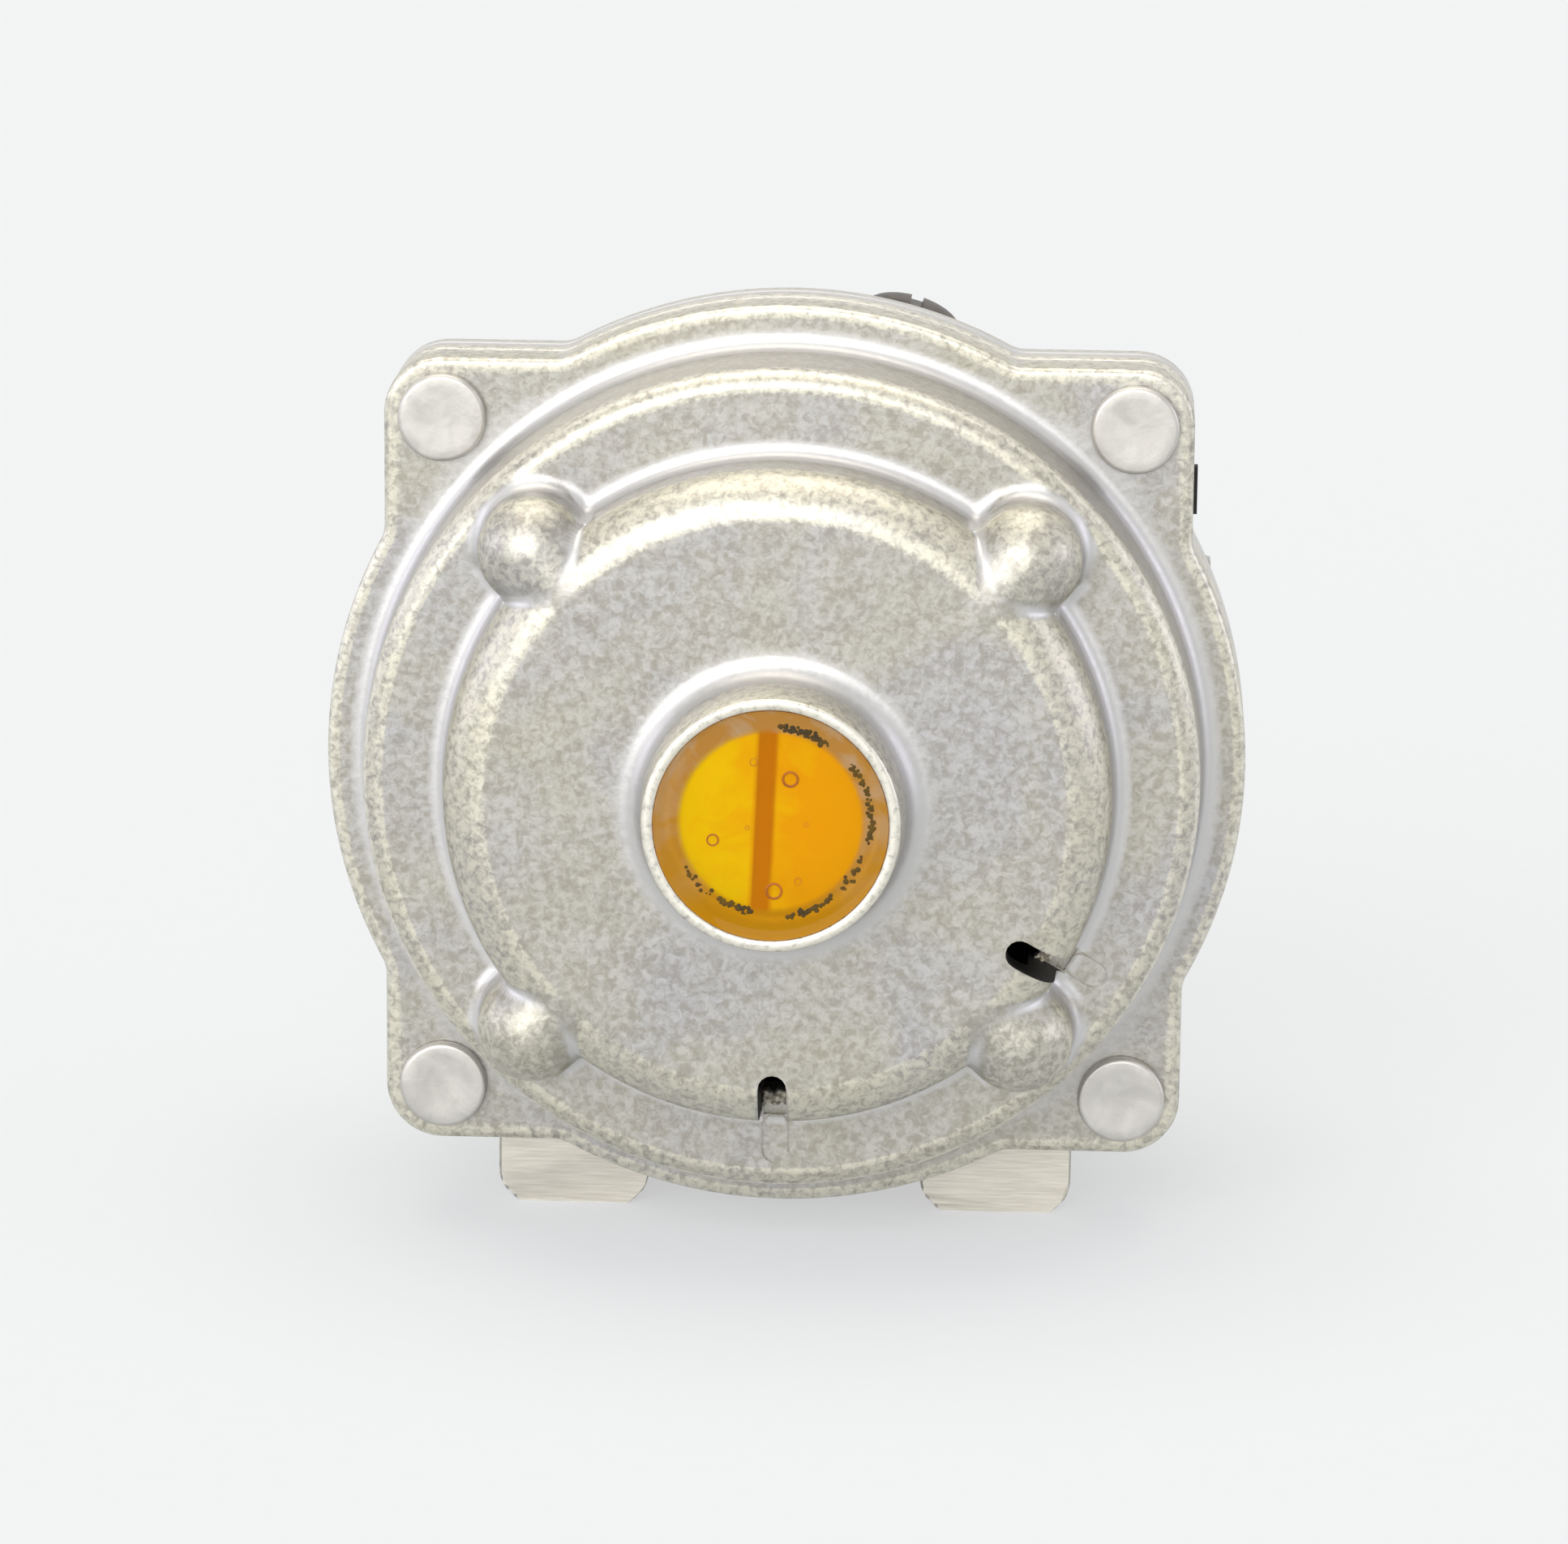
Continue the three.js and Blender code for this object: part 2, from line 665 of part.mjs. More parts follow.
// Slides in its bore; a slot from the rear takes the lever, and flats on both sides let gas pass.
function valvePlunger() {
  const at = [0, portAxisDepth, 0];
  const recess = plungerFront + padThickness - padProud;
  const flat = plungerRadius - plungerFlatDepth;
  const sides = [-1, 1].map((sign) => block(
    [plungerFront - cutOverrun, plungerRear + cutOverrun],
    [portAxisDepth - plungerRadius - cutOverrun, portAxisDepth + plungerRadius + cutOverrun],
    sign < 0 ? [-plungerRadius - cutOverrun, -flat] : [flat, plungerRadius + cutOverrun],
  ));
  const leverSlot = block(
    [pivotX - plungerSlotHalf, pivotX + plungerSlotHalf],
    [portAxisDepth - valveTipRadius - plungerSlotFloor, portAxisDepth + plungerRadius + cutOverrun],
    [-windowHalfWidth, windowHalfWidth],
  );
  return cut(
    rod(plungerRadius, plungerFront, plungerRear, 'x', at),
    rod(plungerRadius - padWall, plungerFront - cutOverrun, recess, 'x', at),
    leverSlot,
    ...sides,
  );
}

function valvePad() {
  return rod(plungerRadius - padWall - padFit, padFace, padFace + padThickness, 'x', [0, portAxisDepth, 0]);
}

// A headed nozzle screwed into the partition between the inlet port and the valve's bore.
function inletOrifice() {
  const bore = orificeBore / 2;
  const shank = valveBoreRadius - slideClearance;
  return turned([
    [bore, partitionFace - orificeHeadThickness],
    [orificeHeadRadius, partitionFace - orificeHeadThickness],
    [orificeHeadRadius, partitionFace],
    [shank, partitionFace],
    [shank, orificeShoulder],
    [orificeTipRadius, orificeShoulder],
    [(bore + orificeTipRadius) / 2, orificeTip],
    [bore, orificeTip],
    [bore, partitionFace - orificeHeadThickness],
  ], smallSides, 'x', [0, portAxisDepth, 0]);
}

function inletFilter() {
  const radius = portBoreRadius - filterEdgeGap;
  const pitch = radius / filterRings.length;
  const holes = filterRings.flatMap((count, ring) => Array.from({ length: count }, (_, hole) => {
    const [up, across] = aroundAxis(ring * pitch, 360 * hole / count);
    const at = [0, portAxisDepth + across, up];
    return rod(filterHoleRadius, filterFace - cutOverrun, filterFace + cutOverrun, 'x', at, filterHoleSides);
  }));
  return cut(
    rod(radius, filterFace - filterThickness, filterFace, 'x', [0, portAxisDepth, 0]),
    ...holes,
  );
}

// The round bowl behind the flange, closed to the rear.
function bowlProfile() {
  const floor = bowlFloorDepth + bowlFloor;
  const front = bodyFrontDepth + bodyFlangeThickness / 2;
  return [
    [0, front],
    [bowlRadius, front],
    ...arc([bowlRadius - bowlRounding, floor - bowlRounding], bowlRounding, 0, 90),
    [0, floor],
  ];
}

// A foot pad with chamfered lower edges, a round leg up to the port boss and a rib to the bowl.
function leg(sign) {
  const centre = sign * footSpread;
  const half = footWidth / 2;
  const floor = -axisHeight;
  const front = bodyFrontDepth + footSetback;
  const pad = [
    [centre - half + footChamfer, floor],
    [centre + half - footChamfer, floor],
    [centre + half, floor + footChamfer],
    [centre + half, floor + footHeight],
    [centre - half, floor + footHeight],
    [centre - half, floor + footChamfer],
  ];
  return joined(
    prism(pad, front, front + footDepth),
    rod(legRadius, floor + footHeight / 2, 0, 'z', [centre, portAxisDepth, 0]),
    block(
      [centre - ribThickness / 2, centre + ribThickness / 2],
      [bodyFlangeRear - footSetback, bodyFlangeRear + footDepth / 2],
      [floor + footHeight / 2, floor + ribRise],
    ),
  );
}

function footHole(sign) {
  const at = [sign * footSpread, portAxisDepth, 0];
  return rod(footHoleRadius, -axisHeight - cutOverrun, -axisHeight + footHoleDepth, 'z', at);
}

// A tool or piece drawn along z from the centre line, leaned over to the test port's direction.
function atTestPort(profile, sides) {
  const points = profile.map(([radius, station]) => new THREE.Vector2(radius, station));
  const geometry = new THREE.LatheGeometry(points, sides);
  geometry.rotateX(Math.PI / 2);
  geometry.rotateY(THREE.MathUtils.degToRad(90 - testPortAngle));
  return solidOf(geometry.translate(0, testPortDepth, 0));
}

function testPortBoss() {
  const root = clampRadius - bowlWall;
  const section = [[0, root], [testBossRadius, root], [testBossRadius, testSeatRadius], [0, testSeatRadius]];
  return atTestPort(section, smallSides);
}

function testPortHole() {
  const radius = testThreadRadius + testHoleClearance;
  const root = clampRadius - bowlWall;
  const end = testSeatRadius + cutOverrun;
  return atTestPort([[0, root], [radius, root], [radius, end], [0, end]], smallSides);
}

function testPortPlug() {
  const underHead = testSeatRadius + sealFit * 2 + sealThickness;
  const head = testBossRadius - testHeadInset;
  const dome = Array.from({ length: arcSteps + 1 }, (_, step) => {
    const [out, up] = aroundAxis(1, 90 * step / arcSteps);
    return [head * out, underHead + testHeadHeight * up];
  });
  dome[arcSteps] = [0, underHead + testHeadHeight];
  const plug = atTestPort([
    [0, underHead - sealThickness - testThreadLength],
    [testThreadRadius, underHead - sealThickness - testThreadLength],
    [testThreadRadius, underHead],
    ...dome,
  ], smallSides);
  const slot = new THREE.BoxGeometry(testSlotWidth, testBossRadius * 2, testSlotDepth * 2);
  slot.translate(0, 0, underHead + testHeadHeight);
  slot.rotateY(THREE.MathUtils.degToRad(90 - testPortAngle));
  return cut(plug, solidOf(slot.translate(0, testPortDepth, 0)));
}

function plugSeal() {
  const outer = testBossRadius - testHeadInset;
  const inner = testThreadRadius + sealFit;
  const from = testSeatRadius + sealFit;
  const to = from + sealThickness;
  return atTestPort([[inner, from], [outer, from], [outer, to], [inner, to], [inner, from]], smallSides);
}

// A port's bore from its face inwards, with a chamfered mouth.
function portBore(sign, end) {
  const mouth = portBoreRadius + portChamfer;
  return turned([
    [0, sign * end],
    [portBoreRadius, sign * end],
    [portBoreRadius, sign * (portFace - portChamfer)],
    [mouth, sign * portFace],
    [mouth, sign * (portFace + cutOverrun)],
    [0, sign * (portFace + cutOverrun)],
  ], smallSides, 'x', [0, portAxisDepth, 0]);
}

// Pads on the bowl's floor that the diaphragm rests on when the spring has pushed it right in.
function travelStops() {
  const circle = (washerRadius + plateRadius) / 2;
  const top = washerFrontDepth + stopGap;
  return Array.from({ length: stopCount }, (_, stop) => {
    const [x, z] = aroundAxis(circle, 90 + 360 * stop / stopCount);
    return rod(stopRadius, top, bowlFloorDepth + bowlFloor / 2, 'y', [x, 0, z]);
  });
}

function bodyHousing() {
  const atPort = [0, portAxisDepth, 0];
  const blockHalfZ = pocketHalfZ + blockSideWall;
  const blockOutline = roundedRectangle(
    [leverSlotEnd - blockWall, pocketHalfX + blockWall], [-blockHalfZ, blockHalfZ], blockCornerRadius,
  );
  const outside = joined(
    prism(flangeOutline(), bodyFrontDepth, bodyFlangeRear),
    turned(bowlProfile(), largeSides),
    rod(portBossRadius, -portFace, portFace, 'x', atPort, largeSides / 2),
    prism(blockOutline, bowlFloorDepth, blockRearDepth),
    leg(-1),
    leg(1),
    testPortBoss(),
  );
  const hollow = cut(
    outside,
    rod(clampRadius, bodyFrontDepth - cutOverrun, bowlFloorDepth, 'y', [0, 0, 0], largeSides),
    portBore(-1, -partitionFace),
    portBore(1, -partitionFace),
    rod(outletPassageRadius, 0, -partitionFace + cutOverrun, 'x', atPort),
    rod(valveBoreRadius, partitionFace - cutOverrun, 0, 'x', atPort),
    block(
      [-pocketHalfX, pocketHalfX],
      [bowlFloorDepth - cutOverrun, pocketFloorDepth],
      [-pocketHalfZ, pocketHalfZ],
    ),
    block(
      [leverSlotEnd, 0],
      [portAxisDepth, pivotDepth + leverHubRadius + pocketFloorGap],
      [-leverSlotHalfWidth, leverSlotHalfWidth],
    ),
    rod(pinRadius + pinClearance, -pinHalfLength - pinPlugGap, portBossRadius, 'z', [pivotX, pivotDepth, 0]),
    rod(
      pinPlugRadius + pinClearance, pinPlugTop() - pinPlugLength - pinPlugGap, portBossRadius + cutOverrun,
      'z', [pivotX, pivotDepth, 0],
    ),
    testPortHole(),
    footHole(-1),
    footHole(1),
    ...rivetHoles(bodyFrontDepth - cutOverrun, bodyFlangeRear + cutOverrun),
  );
  return joined(hollow, ...travelStops());
}

// A shank through both flanges with a flat head in front and a lower one behind.
function flangeRivet([x, z]) {
  return turned([
    [0, -rivetHeadHeight],
    [rivetHeadRadius - rivetEdge, -rivetHeadHeight],
    [rivetHeadRadius, rivetEdge - rivetHeadHeight],
    [rivetHeadRadius, 0],
    [rivetShankRadius, 0],
    [rivetShankRadius, bodyFlangeRear],
    [rivetTailRadius, bodyFlangeRear],
    [rivetTailRadius, bodyFlangeRear + rivetTailHeight - rivetEdge],
    [rivetTailRadius - rivetEdge, bodyFlangeRear + rivetTailHeight],
    [0, bodyFlangeRear + rivetTailHeight],
  ], smallSides, 'y', [x, 0, z]);
}

const finishes = {
  castAluminium: { color: 0xbab8b2, roughness: 0.5, metalness: 0.85 },
  rivetAluminium: { color: 0xc6c4bf, roughness: 0.4, metalness: 0.9 },
  resin: { color: 0xf5a300, roughness: 0.12, metalness: 0 },
  brass: { color: 0xc9a24e, roughness: 0.3, metalness: 1 },
  steel: { color: 0x8f9296, roughness: 0.35, metalness: 1 },
  darkSteel: { color: 0x4a484a, roughness: 0.45, metalness: 0.8 },
  rubber: { color: 0x23211f, roughness: 0.85, metalness: 0 },
};

const model = new THREE.Group();

function addPiece(name, solid, finish) {
  const { vertProperties, triVerts } = solid.getMesh();
  const geometry = new THREE.BufferGeometry();
  geometry.setAttribute('position', new THREE.BufferAttribute(vertProperties, 3));
  geometry.setIndex(new THREE.BufferAttribute(triVerts, 1));
  geometry.computeVertexNormals();
  const mesh = new THREE.Mesh(geometry, new THREE.MeshStandardMaterial(finishes[finish]));
  mesh.name = name;
  model.add(mesh);
}

addPiece('bonnet_cover', bonnetCover(), 'castAluminium');
addPiece('body_housing', bodyHousing(), 'castAluminium');
for (const [place, centre] of Object.entries(rivetPlaces)) {
  addPiece(`flange_rivet_${place}`, flangeRivet(centre), 'rivetAluminium');
}
addPiece('resin_seal', resinSeal(), 'resin');
addPiece('adjusting_screw', adjustingScrew(), 'brass');
addPiece('main_spring', mainSpring(), 'steel');
addPiece('diaphragm', diaphragm(), 'rubber');
addPiece('diaphragm_plate', diaphragmPlate(), 'steel');
addPiece('diaphragm_washer', diaphragmWasher(), 'steel');
addPiece('stem', stem(), 'brass');
addPiece('stem_nut', stemNut(), 'steel');
addPiece('lever', lever(), 'steel');
addPiece('lever_pin', leverPin(), 'steel');
addPiece('pin_plug', pinPlug(), 'brass');
addPiece('valve_plunger', valvePlunger(), 'brass');
addPiece('valve_pad', valvePad(), 'rubber');
addPiece('inlet_orifice', inletOrifice(), 'brass');
addPiece('inlet_filter', inletFilter(), 'steel');
addPiece('test_port_plug', testPortPlug(), 'darkSteel');
addPiece('plug_seal', plugSeal(), 'rubber');

// The part stands on its feet, with the origin under the middle of its depth.
model.position.set(0, (bossHeight - blockRearDepth) / 2, axisHeight);

const regulator = new THREE.Group();
regulator.add(model);

export default regulator;
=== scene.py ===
"""Low-pressure gas regulator: castings, riveted joint, potted adjuster and valve, round the CAD frame.

Laid out as an add-on: sizes and colours in property groups, one operator for each piece or group of pieces.
Local lengths are in millimetres from the housing's centre line, and depth is zero on the front face of the
cover's flange.
"""

import json
import math

import bpy
import numpy as np
from mathutils import Matrix, Vector

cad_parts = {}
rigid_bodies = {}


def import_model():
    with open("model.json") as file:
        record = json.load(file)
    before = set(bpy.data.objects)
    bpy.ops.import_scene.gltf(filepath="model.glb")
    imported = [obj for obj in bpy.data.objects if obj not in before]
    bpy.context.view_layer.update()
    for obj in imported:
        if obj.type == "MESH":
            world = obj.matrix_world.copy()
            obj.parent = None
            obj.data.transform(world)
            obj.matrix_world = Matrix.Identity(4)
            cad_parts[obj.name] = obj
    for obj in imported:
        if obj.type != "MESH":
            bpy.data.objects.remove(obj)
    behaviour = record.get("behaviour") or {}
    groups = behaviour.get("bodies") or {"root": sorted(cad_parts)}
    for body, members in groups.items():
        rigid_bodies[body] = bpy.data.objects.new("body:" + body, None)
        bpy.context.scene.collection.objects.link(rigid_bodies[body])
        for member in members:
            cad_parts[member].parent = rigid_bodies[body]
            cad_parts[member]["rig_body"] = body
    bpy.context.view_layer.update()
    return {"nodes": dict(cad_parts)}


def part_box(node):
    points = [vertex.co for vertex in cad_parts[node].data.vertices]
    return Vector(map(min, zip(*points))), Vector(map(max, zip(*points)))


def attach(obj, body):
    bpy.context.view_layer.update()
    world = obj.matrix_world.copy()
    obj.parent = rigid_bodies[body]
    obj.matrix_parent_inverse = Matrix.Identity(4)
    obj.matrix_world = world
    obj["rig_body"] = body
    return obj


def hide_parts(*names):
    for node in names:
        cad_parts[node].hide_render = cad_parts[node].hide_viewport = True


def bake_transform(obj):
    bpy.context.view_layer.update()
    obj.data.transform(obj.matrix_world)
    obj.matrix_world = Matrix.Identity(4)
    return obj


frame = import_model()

bl_info = {
    "name": "Low-pressure gas regulator",
    "version": (1, 0, 0),
    "blender": (4, 5, 0),
    "location": "3D Viewport > Sidebar > Regulator",
    "description": "Builds a die-cast diaphragm gas regulator around its CAD frame",
    "category": "Object",
}

MM = 0.001
TURN = 2 * math.pi

# Flanges and their outline
FLANGE_SIDE = 28.4
FLANGE_CORNER = 4.0
FLANGE_BLEND = 2.5
RIM_RADIUS = 32.5
COVER_FLANGE = 3.4
BODY_FRONT = 4.4
BODY_REAR = 8.3
CLAMP_RADIUS = 26.4
RIVET_OFFSET = 24.25
RIVET_HOLE = 2.15

# Cover, with heights in front of its flange
SHELF_RADIUS = 29.5
SHELF_HEIGHT = 7.8
SHELF_ROUNDING = 1.3
SHELF_FILLET = 1.0
CROWN_RADIUS = 23.3
CROWN_HEIGHT = 14.4
CROWN_ROUNDING = 3.2
CROWN_FILLET = 0.95
LOBE_RADIUS = 3.9
LOBE_REACH = 24.0
LOBE_BALL_HEIGHT = 10.35
WELL_RADIUS = 8.0
WELL_FLOOR = 15.4
BOSS_HEIGHT = 19.6

# Breather slots: direction in degrees, inner end, and outer end of the tool's witness mark
SLOTS = ((-90, 19.1, 27.4), (-30.5, 18.75, 26.7))
SLOT_WIDTH = 2.0

# Body
AXIS_HEIGHT = 34.5
PORT_AXIS = 20.5
PORT_FACE = 30.0
PORT_RADIUS = 11.0
PORT_BORE = 5.6
SEAT_FACE = 18.965
BODY_BACK = 31.95
THREAD_ROOT = 6.35
THREAD_DEPTH = 0.62
THREAD_PITCH = 1.337
LEG_OFFSET = 15.3
FOOT_FRONT = 4.95
TEST_PORT_TURN = 74.6
TEST_PORT_DEPTH = 12.1
PIVOT = (-9.5, 25.7)

# Moving parts
STEM_HOLE = 2.05
PLATE_FACE = 3.4
PLATE_BACK = 4.4

# Adjusting screw, seen through the resin
SCREW_TOP = -17.5
SCREW_RADIUS = 6.3
SLOT_HALF = 0.65
SLOT_OFFSET = -0.5
SLOT_LEAN = math.radians(2.3)
RESIN_FACE = -19.24
DISC_RISE = 0.3

# Camera's aim, in local millimetres
AIM = (-0.06, 0, -0.87)

# Which way each rivet lies from the centre line
RIVET_PLACES = {
    "top_left": (-1, 1), "top_right": (1, 1), "bottom_left": (-1, -1), "bottom_right": (1, -1),
}

cover_low, cover_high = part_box("bonnet_cover")
ORIGIN = np.array([0.0, cover_high.y - COVER_FLANGE * MM, (cover_low.z + cover_high.z) / 2])


def linear(code):
    """An sRGB hex colour as linear red, green, blue and alpha."""
    channels = [int(code[at:at + 2], 16) / 255 for at in (1, 3, 5)]
    return (*(c / 12.92 if c <= 0.04045 else ((c + 0.055) / 1.055) ** 2.4 for c in channels), 1.0)


# Nodes and materials

def add(tree, kind, feeds=None, **settings):
    """Adds a node with its settings; feeds maps each input to a value or to the socket that feeds it."""
    node = tree.nodes.new(kind)
    for name, value in settings.items():
        setattr(node, name, value)
    for name, value in (feeds or {}).items():
        if isinstance(value, bpy.types.NodeSocket):
            tree.links.new(value, node.inputs[name])
        else:
            node.inputs[name].default_value = value
    return node


def new_material(name, **surface_values):
    """A material with a Principled surface; values are given by socket name with _ for a space."""
    material = bpy.data.materials.new(name)
    material.use_nodes = True
    tree = material.node_tree
    tree.nodes.clear()
    surface = add(tree, "ShaderNodeBsdfPrincipled", {
        key.replace("_", " "): value for key, value in surface_values.items()})
    add(tree, "ShaderNodeOutputMaterial", {"Surface": surface.outputs["BSDF"]})
    place = add(tree, "ShaderNodeTexCoord").outputs["Object"]
    return material, tree, surface, place


def per_metre(size_mm):
    """The noise scale whose features are about this many millimetres across."""
    return 1 / (size_mm * MM)


def toned(tree, surface, noise, dark, pale, low=0.35, high=0.65):
    """Colours a surface in two tones, by a noise between its low and its high value."""
    share = add(tree, "ShaderNodeMapRange", {"Value": noise.outputs[0], "From Min": low, "From Max": high})
    tone = add(tree, "ShaderNodeMix", {0: share.outputs[0], 6: dark, 7: pale}, data_type="RGBA")
    tree.links.new(tone.outputs[2], surface.inputs["Base Color"])


def cast_aluminium(colours):
    """Die-cast aluminium, trimmed and tumbled: a dull silver skin, cloudy with faint lilac and green where
    the metal chilled against the die, and finely mottled. It is paler and speckled where tumbling wore its
    round edges. The fillets carry a painted highlight, nearly white, and the shelf's round edge carries a
    painted highlight line that stands for the floor's reflection."""
    material, tree, surface, place = new_material("die_cast_aluminium_tumbled", Metallic=colours.metal_share)
    clouds = add(tree, "ShaderNodeTexNoise", {
        "Vector": place, "Scale": per_metre(11), "Detail": 3, "Roughness": 0.55, "Distortion": 0.6})
    green_share = add(tree, "ShaderNodeMapRange", {
        "Value": clouds.outputs[0], "From Min": 0.5, "From Max": 0.72, "To Max": 0.6})
    lilac_share = add(tree, "ShaderNodeMapRange", {
        "Value": clouds.outputs[0], "From Min": 0.5, "From Max": 0.3, "To Max": 0.65})
    greened = add(tree, "ShaderNodeMix", {
        0: green_share.outputs[0], 6: colours.skin, 7: colours.green_tint}, data_type="RGBA")
    tinted = add(tree, "ShaderNodeMix", {
        0: lilac_share.outputs[0], 6: greened.outputs[2], 7: colours.lilac_tint}, data_type="RGBA")
    mottle = add(tree, "ShaderNodeTexNoise", {
        "Vector": place, "Scale": per_metre(0.55), "Detail": 4, "Roughness": 0.6, "Distortion": 0.5})
    mottle_share = add(tree, "ShaderNodeMapRange", {
        "Value": mottle.outputs[0], "From Min": 0.38, "From Max": 0.62})
    darker = add(tree, "ShaderNodeMix", {
        0: mottle_share.outputs[0], 6: colours.mottle_dark, 7: colours.mottle_pale}, data_type="RGBA")
    mottled = add(tree, "ShaderNodeMix", {
        0: 1.0, 6: tinted.outputs[2], 7: darker.outputs[2]}, data_type="RGBA", blend_type="MULTIPLY")
    edges = add(tree, "ShaderNodeAttribute", attribute_name="edge_wear")
    specks = add(tree, "ShaderNodeTexNoise", {
        "Vector": place, "Scale": per_metre(0.55), "Detail": 3, "Roughness": 0.7, "Distortion": 0.4})
    worn = add(tree, "ShaderNodeMath", {0: edges.outputs["Fac"], 1: specks.outputs[0]}, operation="MULTIPLY")
    worn_share = add(tree, "ShaderNodeMapRange", {
        "Value": worn.outputs[0], "From Min": 0.33, "From Max": 0.6, "To Max": 0.7})
    coloured = add(tree, "ShaderNodeMix", {
        0: worn_share.outputs[0], 6: mottled.outputs[2], 7: colours.worn_edge}, data_type="RGBA")
    # tight_edge holds the brightest wear on the tightest edges, and also the painted highlight line on the
    # shelf's round edge
    tight = add(tree, "ShaderNodeAttribute", attribute_name="tight_edge")
    rubbed = add(tree, "ShaderNodeMath", {
        0: tight.outputs["Fac"], 1: specks.outputs[0]}, operation="MULTIPLY")
    rubbed_share = add(tree, "ShaderNodeMapRange", {
        "Value": rubbed.outputs[0], "From Min": 0.2, "From Max": 0.5, "To Max": 0.7})
    edged = add(tree, "ShaderNodeMix", {
        0: rubbed_share.outputs[0], 6: coloured.outputs[2], 7: colours.rubbed_edge_and_limb_highlight}, data_type="RGBA")
    # Painted highlight: the fillets are painted nearly white where the surface curves inwards
    hollows = add(tree, "ShaderNodeAttribute", attribute_name="painted_fillet_highlight")
    brightened = add(tree, "ShaderNodeMix", {
        0: hollows.outputs["Fac"], 6: edged.outputs[2], 7: colours.fillet_highlight_tone}, data_type="RGBA")
    tree.links.new(brightened.outputs[2], surface.inputs["Base Color"])
    dullness = add(tree, "ShaderNodeMapRange", {
        "Value": mottle.outputs[0], "From Min": 0.3, "From Max": 0.7, "To Min": 0.34, "To Max": 0.46})
    tree.links.new(dullness.outputs[0], surface.inputs["Roughness"])
    skin = add(tree, "ShaderNodeTexNoise", {
        "Vector": place, "Scale": per_metre(0.5), "Detail": 4, "Roughness": 0.6})
    waves = add(tree, "ShaderNodeTexNoise", {
        "Vector": place, "Scale": per_metre(4), "Detail": 2, "Roughness": 0.5})
    coarse = add(tree, "ShaderNodeBump", {"Height": waves.outputs[0], "Strength": 0.5, "Distance": 0.12 * MM})
    fine = add(tree, "ShaderNodeBump", {
        "Height": skin.outputs[0], "Normal": coarse.outputs[0], "Strength": 0.55, "Distance": 0.035 * MM})
    tree.links.new(fine.outputs[0], surface.inputs["Normal"])
    return material


def ground_aluminium(colours):
    """Casting ground flat on a belt, with fine level scratches. A real belt's grit leaves finer ones, and
    these are as coarse as they need to be to show. It is paler and warmer than the skin, partly from the
    grinding and partly as painted light that lifts the shade the rim casts on the feet and offsets the
    floor's cool reflection."""
    material, tree, surface, place = new_material(
        "belt_ground_aluminium_with_painted_light", Metallic=colours.metal_share, Roughness=0.42)
    stretch = add(tree, "ShaderNodeMapping", {"Vector": place, "Scale": (0.06, 1.0, 1.0)})
    lines = add(tree, "ShaderNodeTexNoise", {
        "Vector": stretch.outputs[0], "Scale": per_metre(0.18), "Detail": 3, "Roughness": 0.6})
    toned(tree, surface, lines, colours.ground_dark_with_painted_light, colours.ground_pale_with_painted_light, 0.38, 0.62)
    bump = add(tree, "ShaderNodeBump", {"Height": lines.outputs[0], "Strength": 0.4, "Distance": 0.03 * MM})
    tree.links.new(bump.outputs[0], surface.inputs["Normal"])
    return material


def upset_aluminium(colours):
    """Soft aluminium rivet, upset cold: a pressed face, smoother and a little warmer than the castings, with
    faint swirls from the setting tool, drawn wide enough to show."""
    material, tree, surface, place = new_material("soft_aluminium_upset", Metallic=colours.metal_share)
    haze = add(tree, "ShaderNodeTexNoise", {
        "Vector": place, "Scale": per_metre(2.2), "Detail": 3, "Roughness": 0.55, "Distortion": 1.2})
    toned(tree, surface, haze, colours.rivet_dark, colours.rivet_pale)
    roughness = add(tree, "ShaderNodeMapRange", {
        "Value": haze.outputs[0], "From Min": 0.3, "From Max": 0.7, "To Min": 0.36, "To Max": 0.46})
    tree.links.new(roughness.outputs[0], surface.inputs["Roughness"])
    scuffs = add(tree, "ShaderNodeTexNoise", {
        "Vector": place, "Scale": per_metre(0.7), "Detail": 4, "Roughness": 0.6, "Distortion": 1.5})
    bump = add(tree, "ShaderNodeBump", {"Height": scuffs.outputs[0], "Strength": 0.4, "Distance": 0.03 * MM})
    tree.links.new(bump.outputs[0], surface.inputs["Normal"])
    return material


def plain_finish(name, dark, pale, roughness, grain=0.5, metallic=1.0):
    """A plain finish: two close tones in a fine haze and a faint grain."""
    material, tree, surface, place = new_material(name, Metallic=metallic)
    haze = add(tree, "ShaderNodeTexNoise", {
        "Vector": place, "Scale": per_metre(grain * 3), "Detail": 3, "Roughness": 0.55, "Distortion": 0.4})
    toned(tree, surface, haze, linear(dark), linear(pale))
    gloss = add(tree, "ShaderNodeMapRange", {
        "Value": haze.outputs[0], "From Min": 0.3, "From Max": 0.7,
        "To Min": roughness * 0.85, "To Max": roughness * 1.15})
    tree.links.new(gloss.outputs[0], surface.inputs["Roughness"])
    grit = add(tree, "ShaderNodeTexNoise", {"Vector": place, "Scale": per_metre(grain), "Detail": 3})
    bump = add(tree, "ShaderNodeBump", {"Height": grit.outputs[0], "Strength": 0.3, "Distance": 0.02 * MM})
    tree.links.new(bump.outputs[0], surface.inputs["Normal"])
    return material


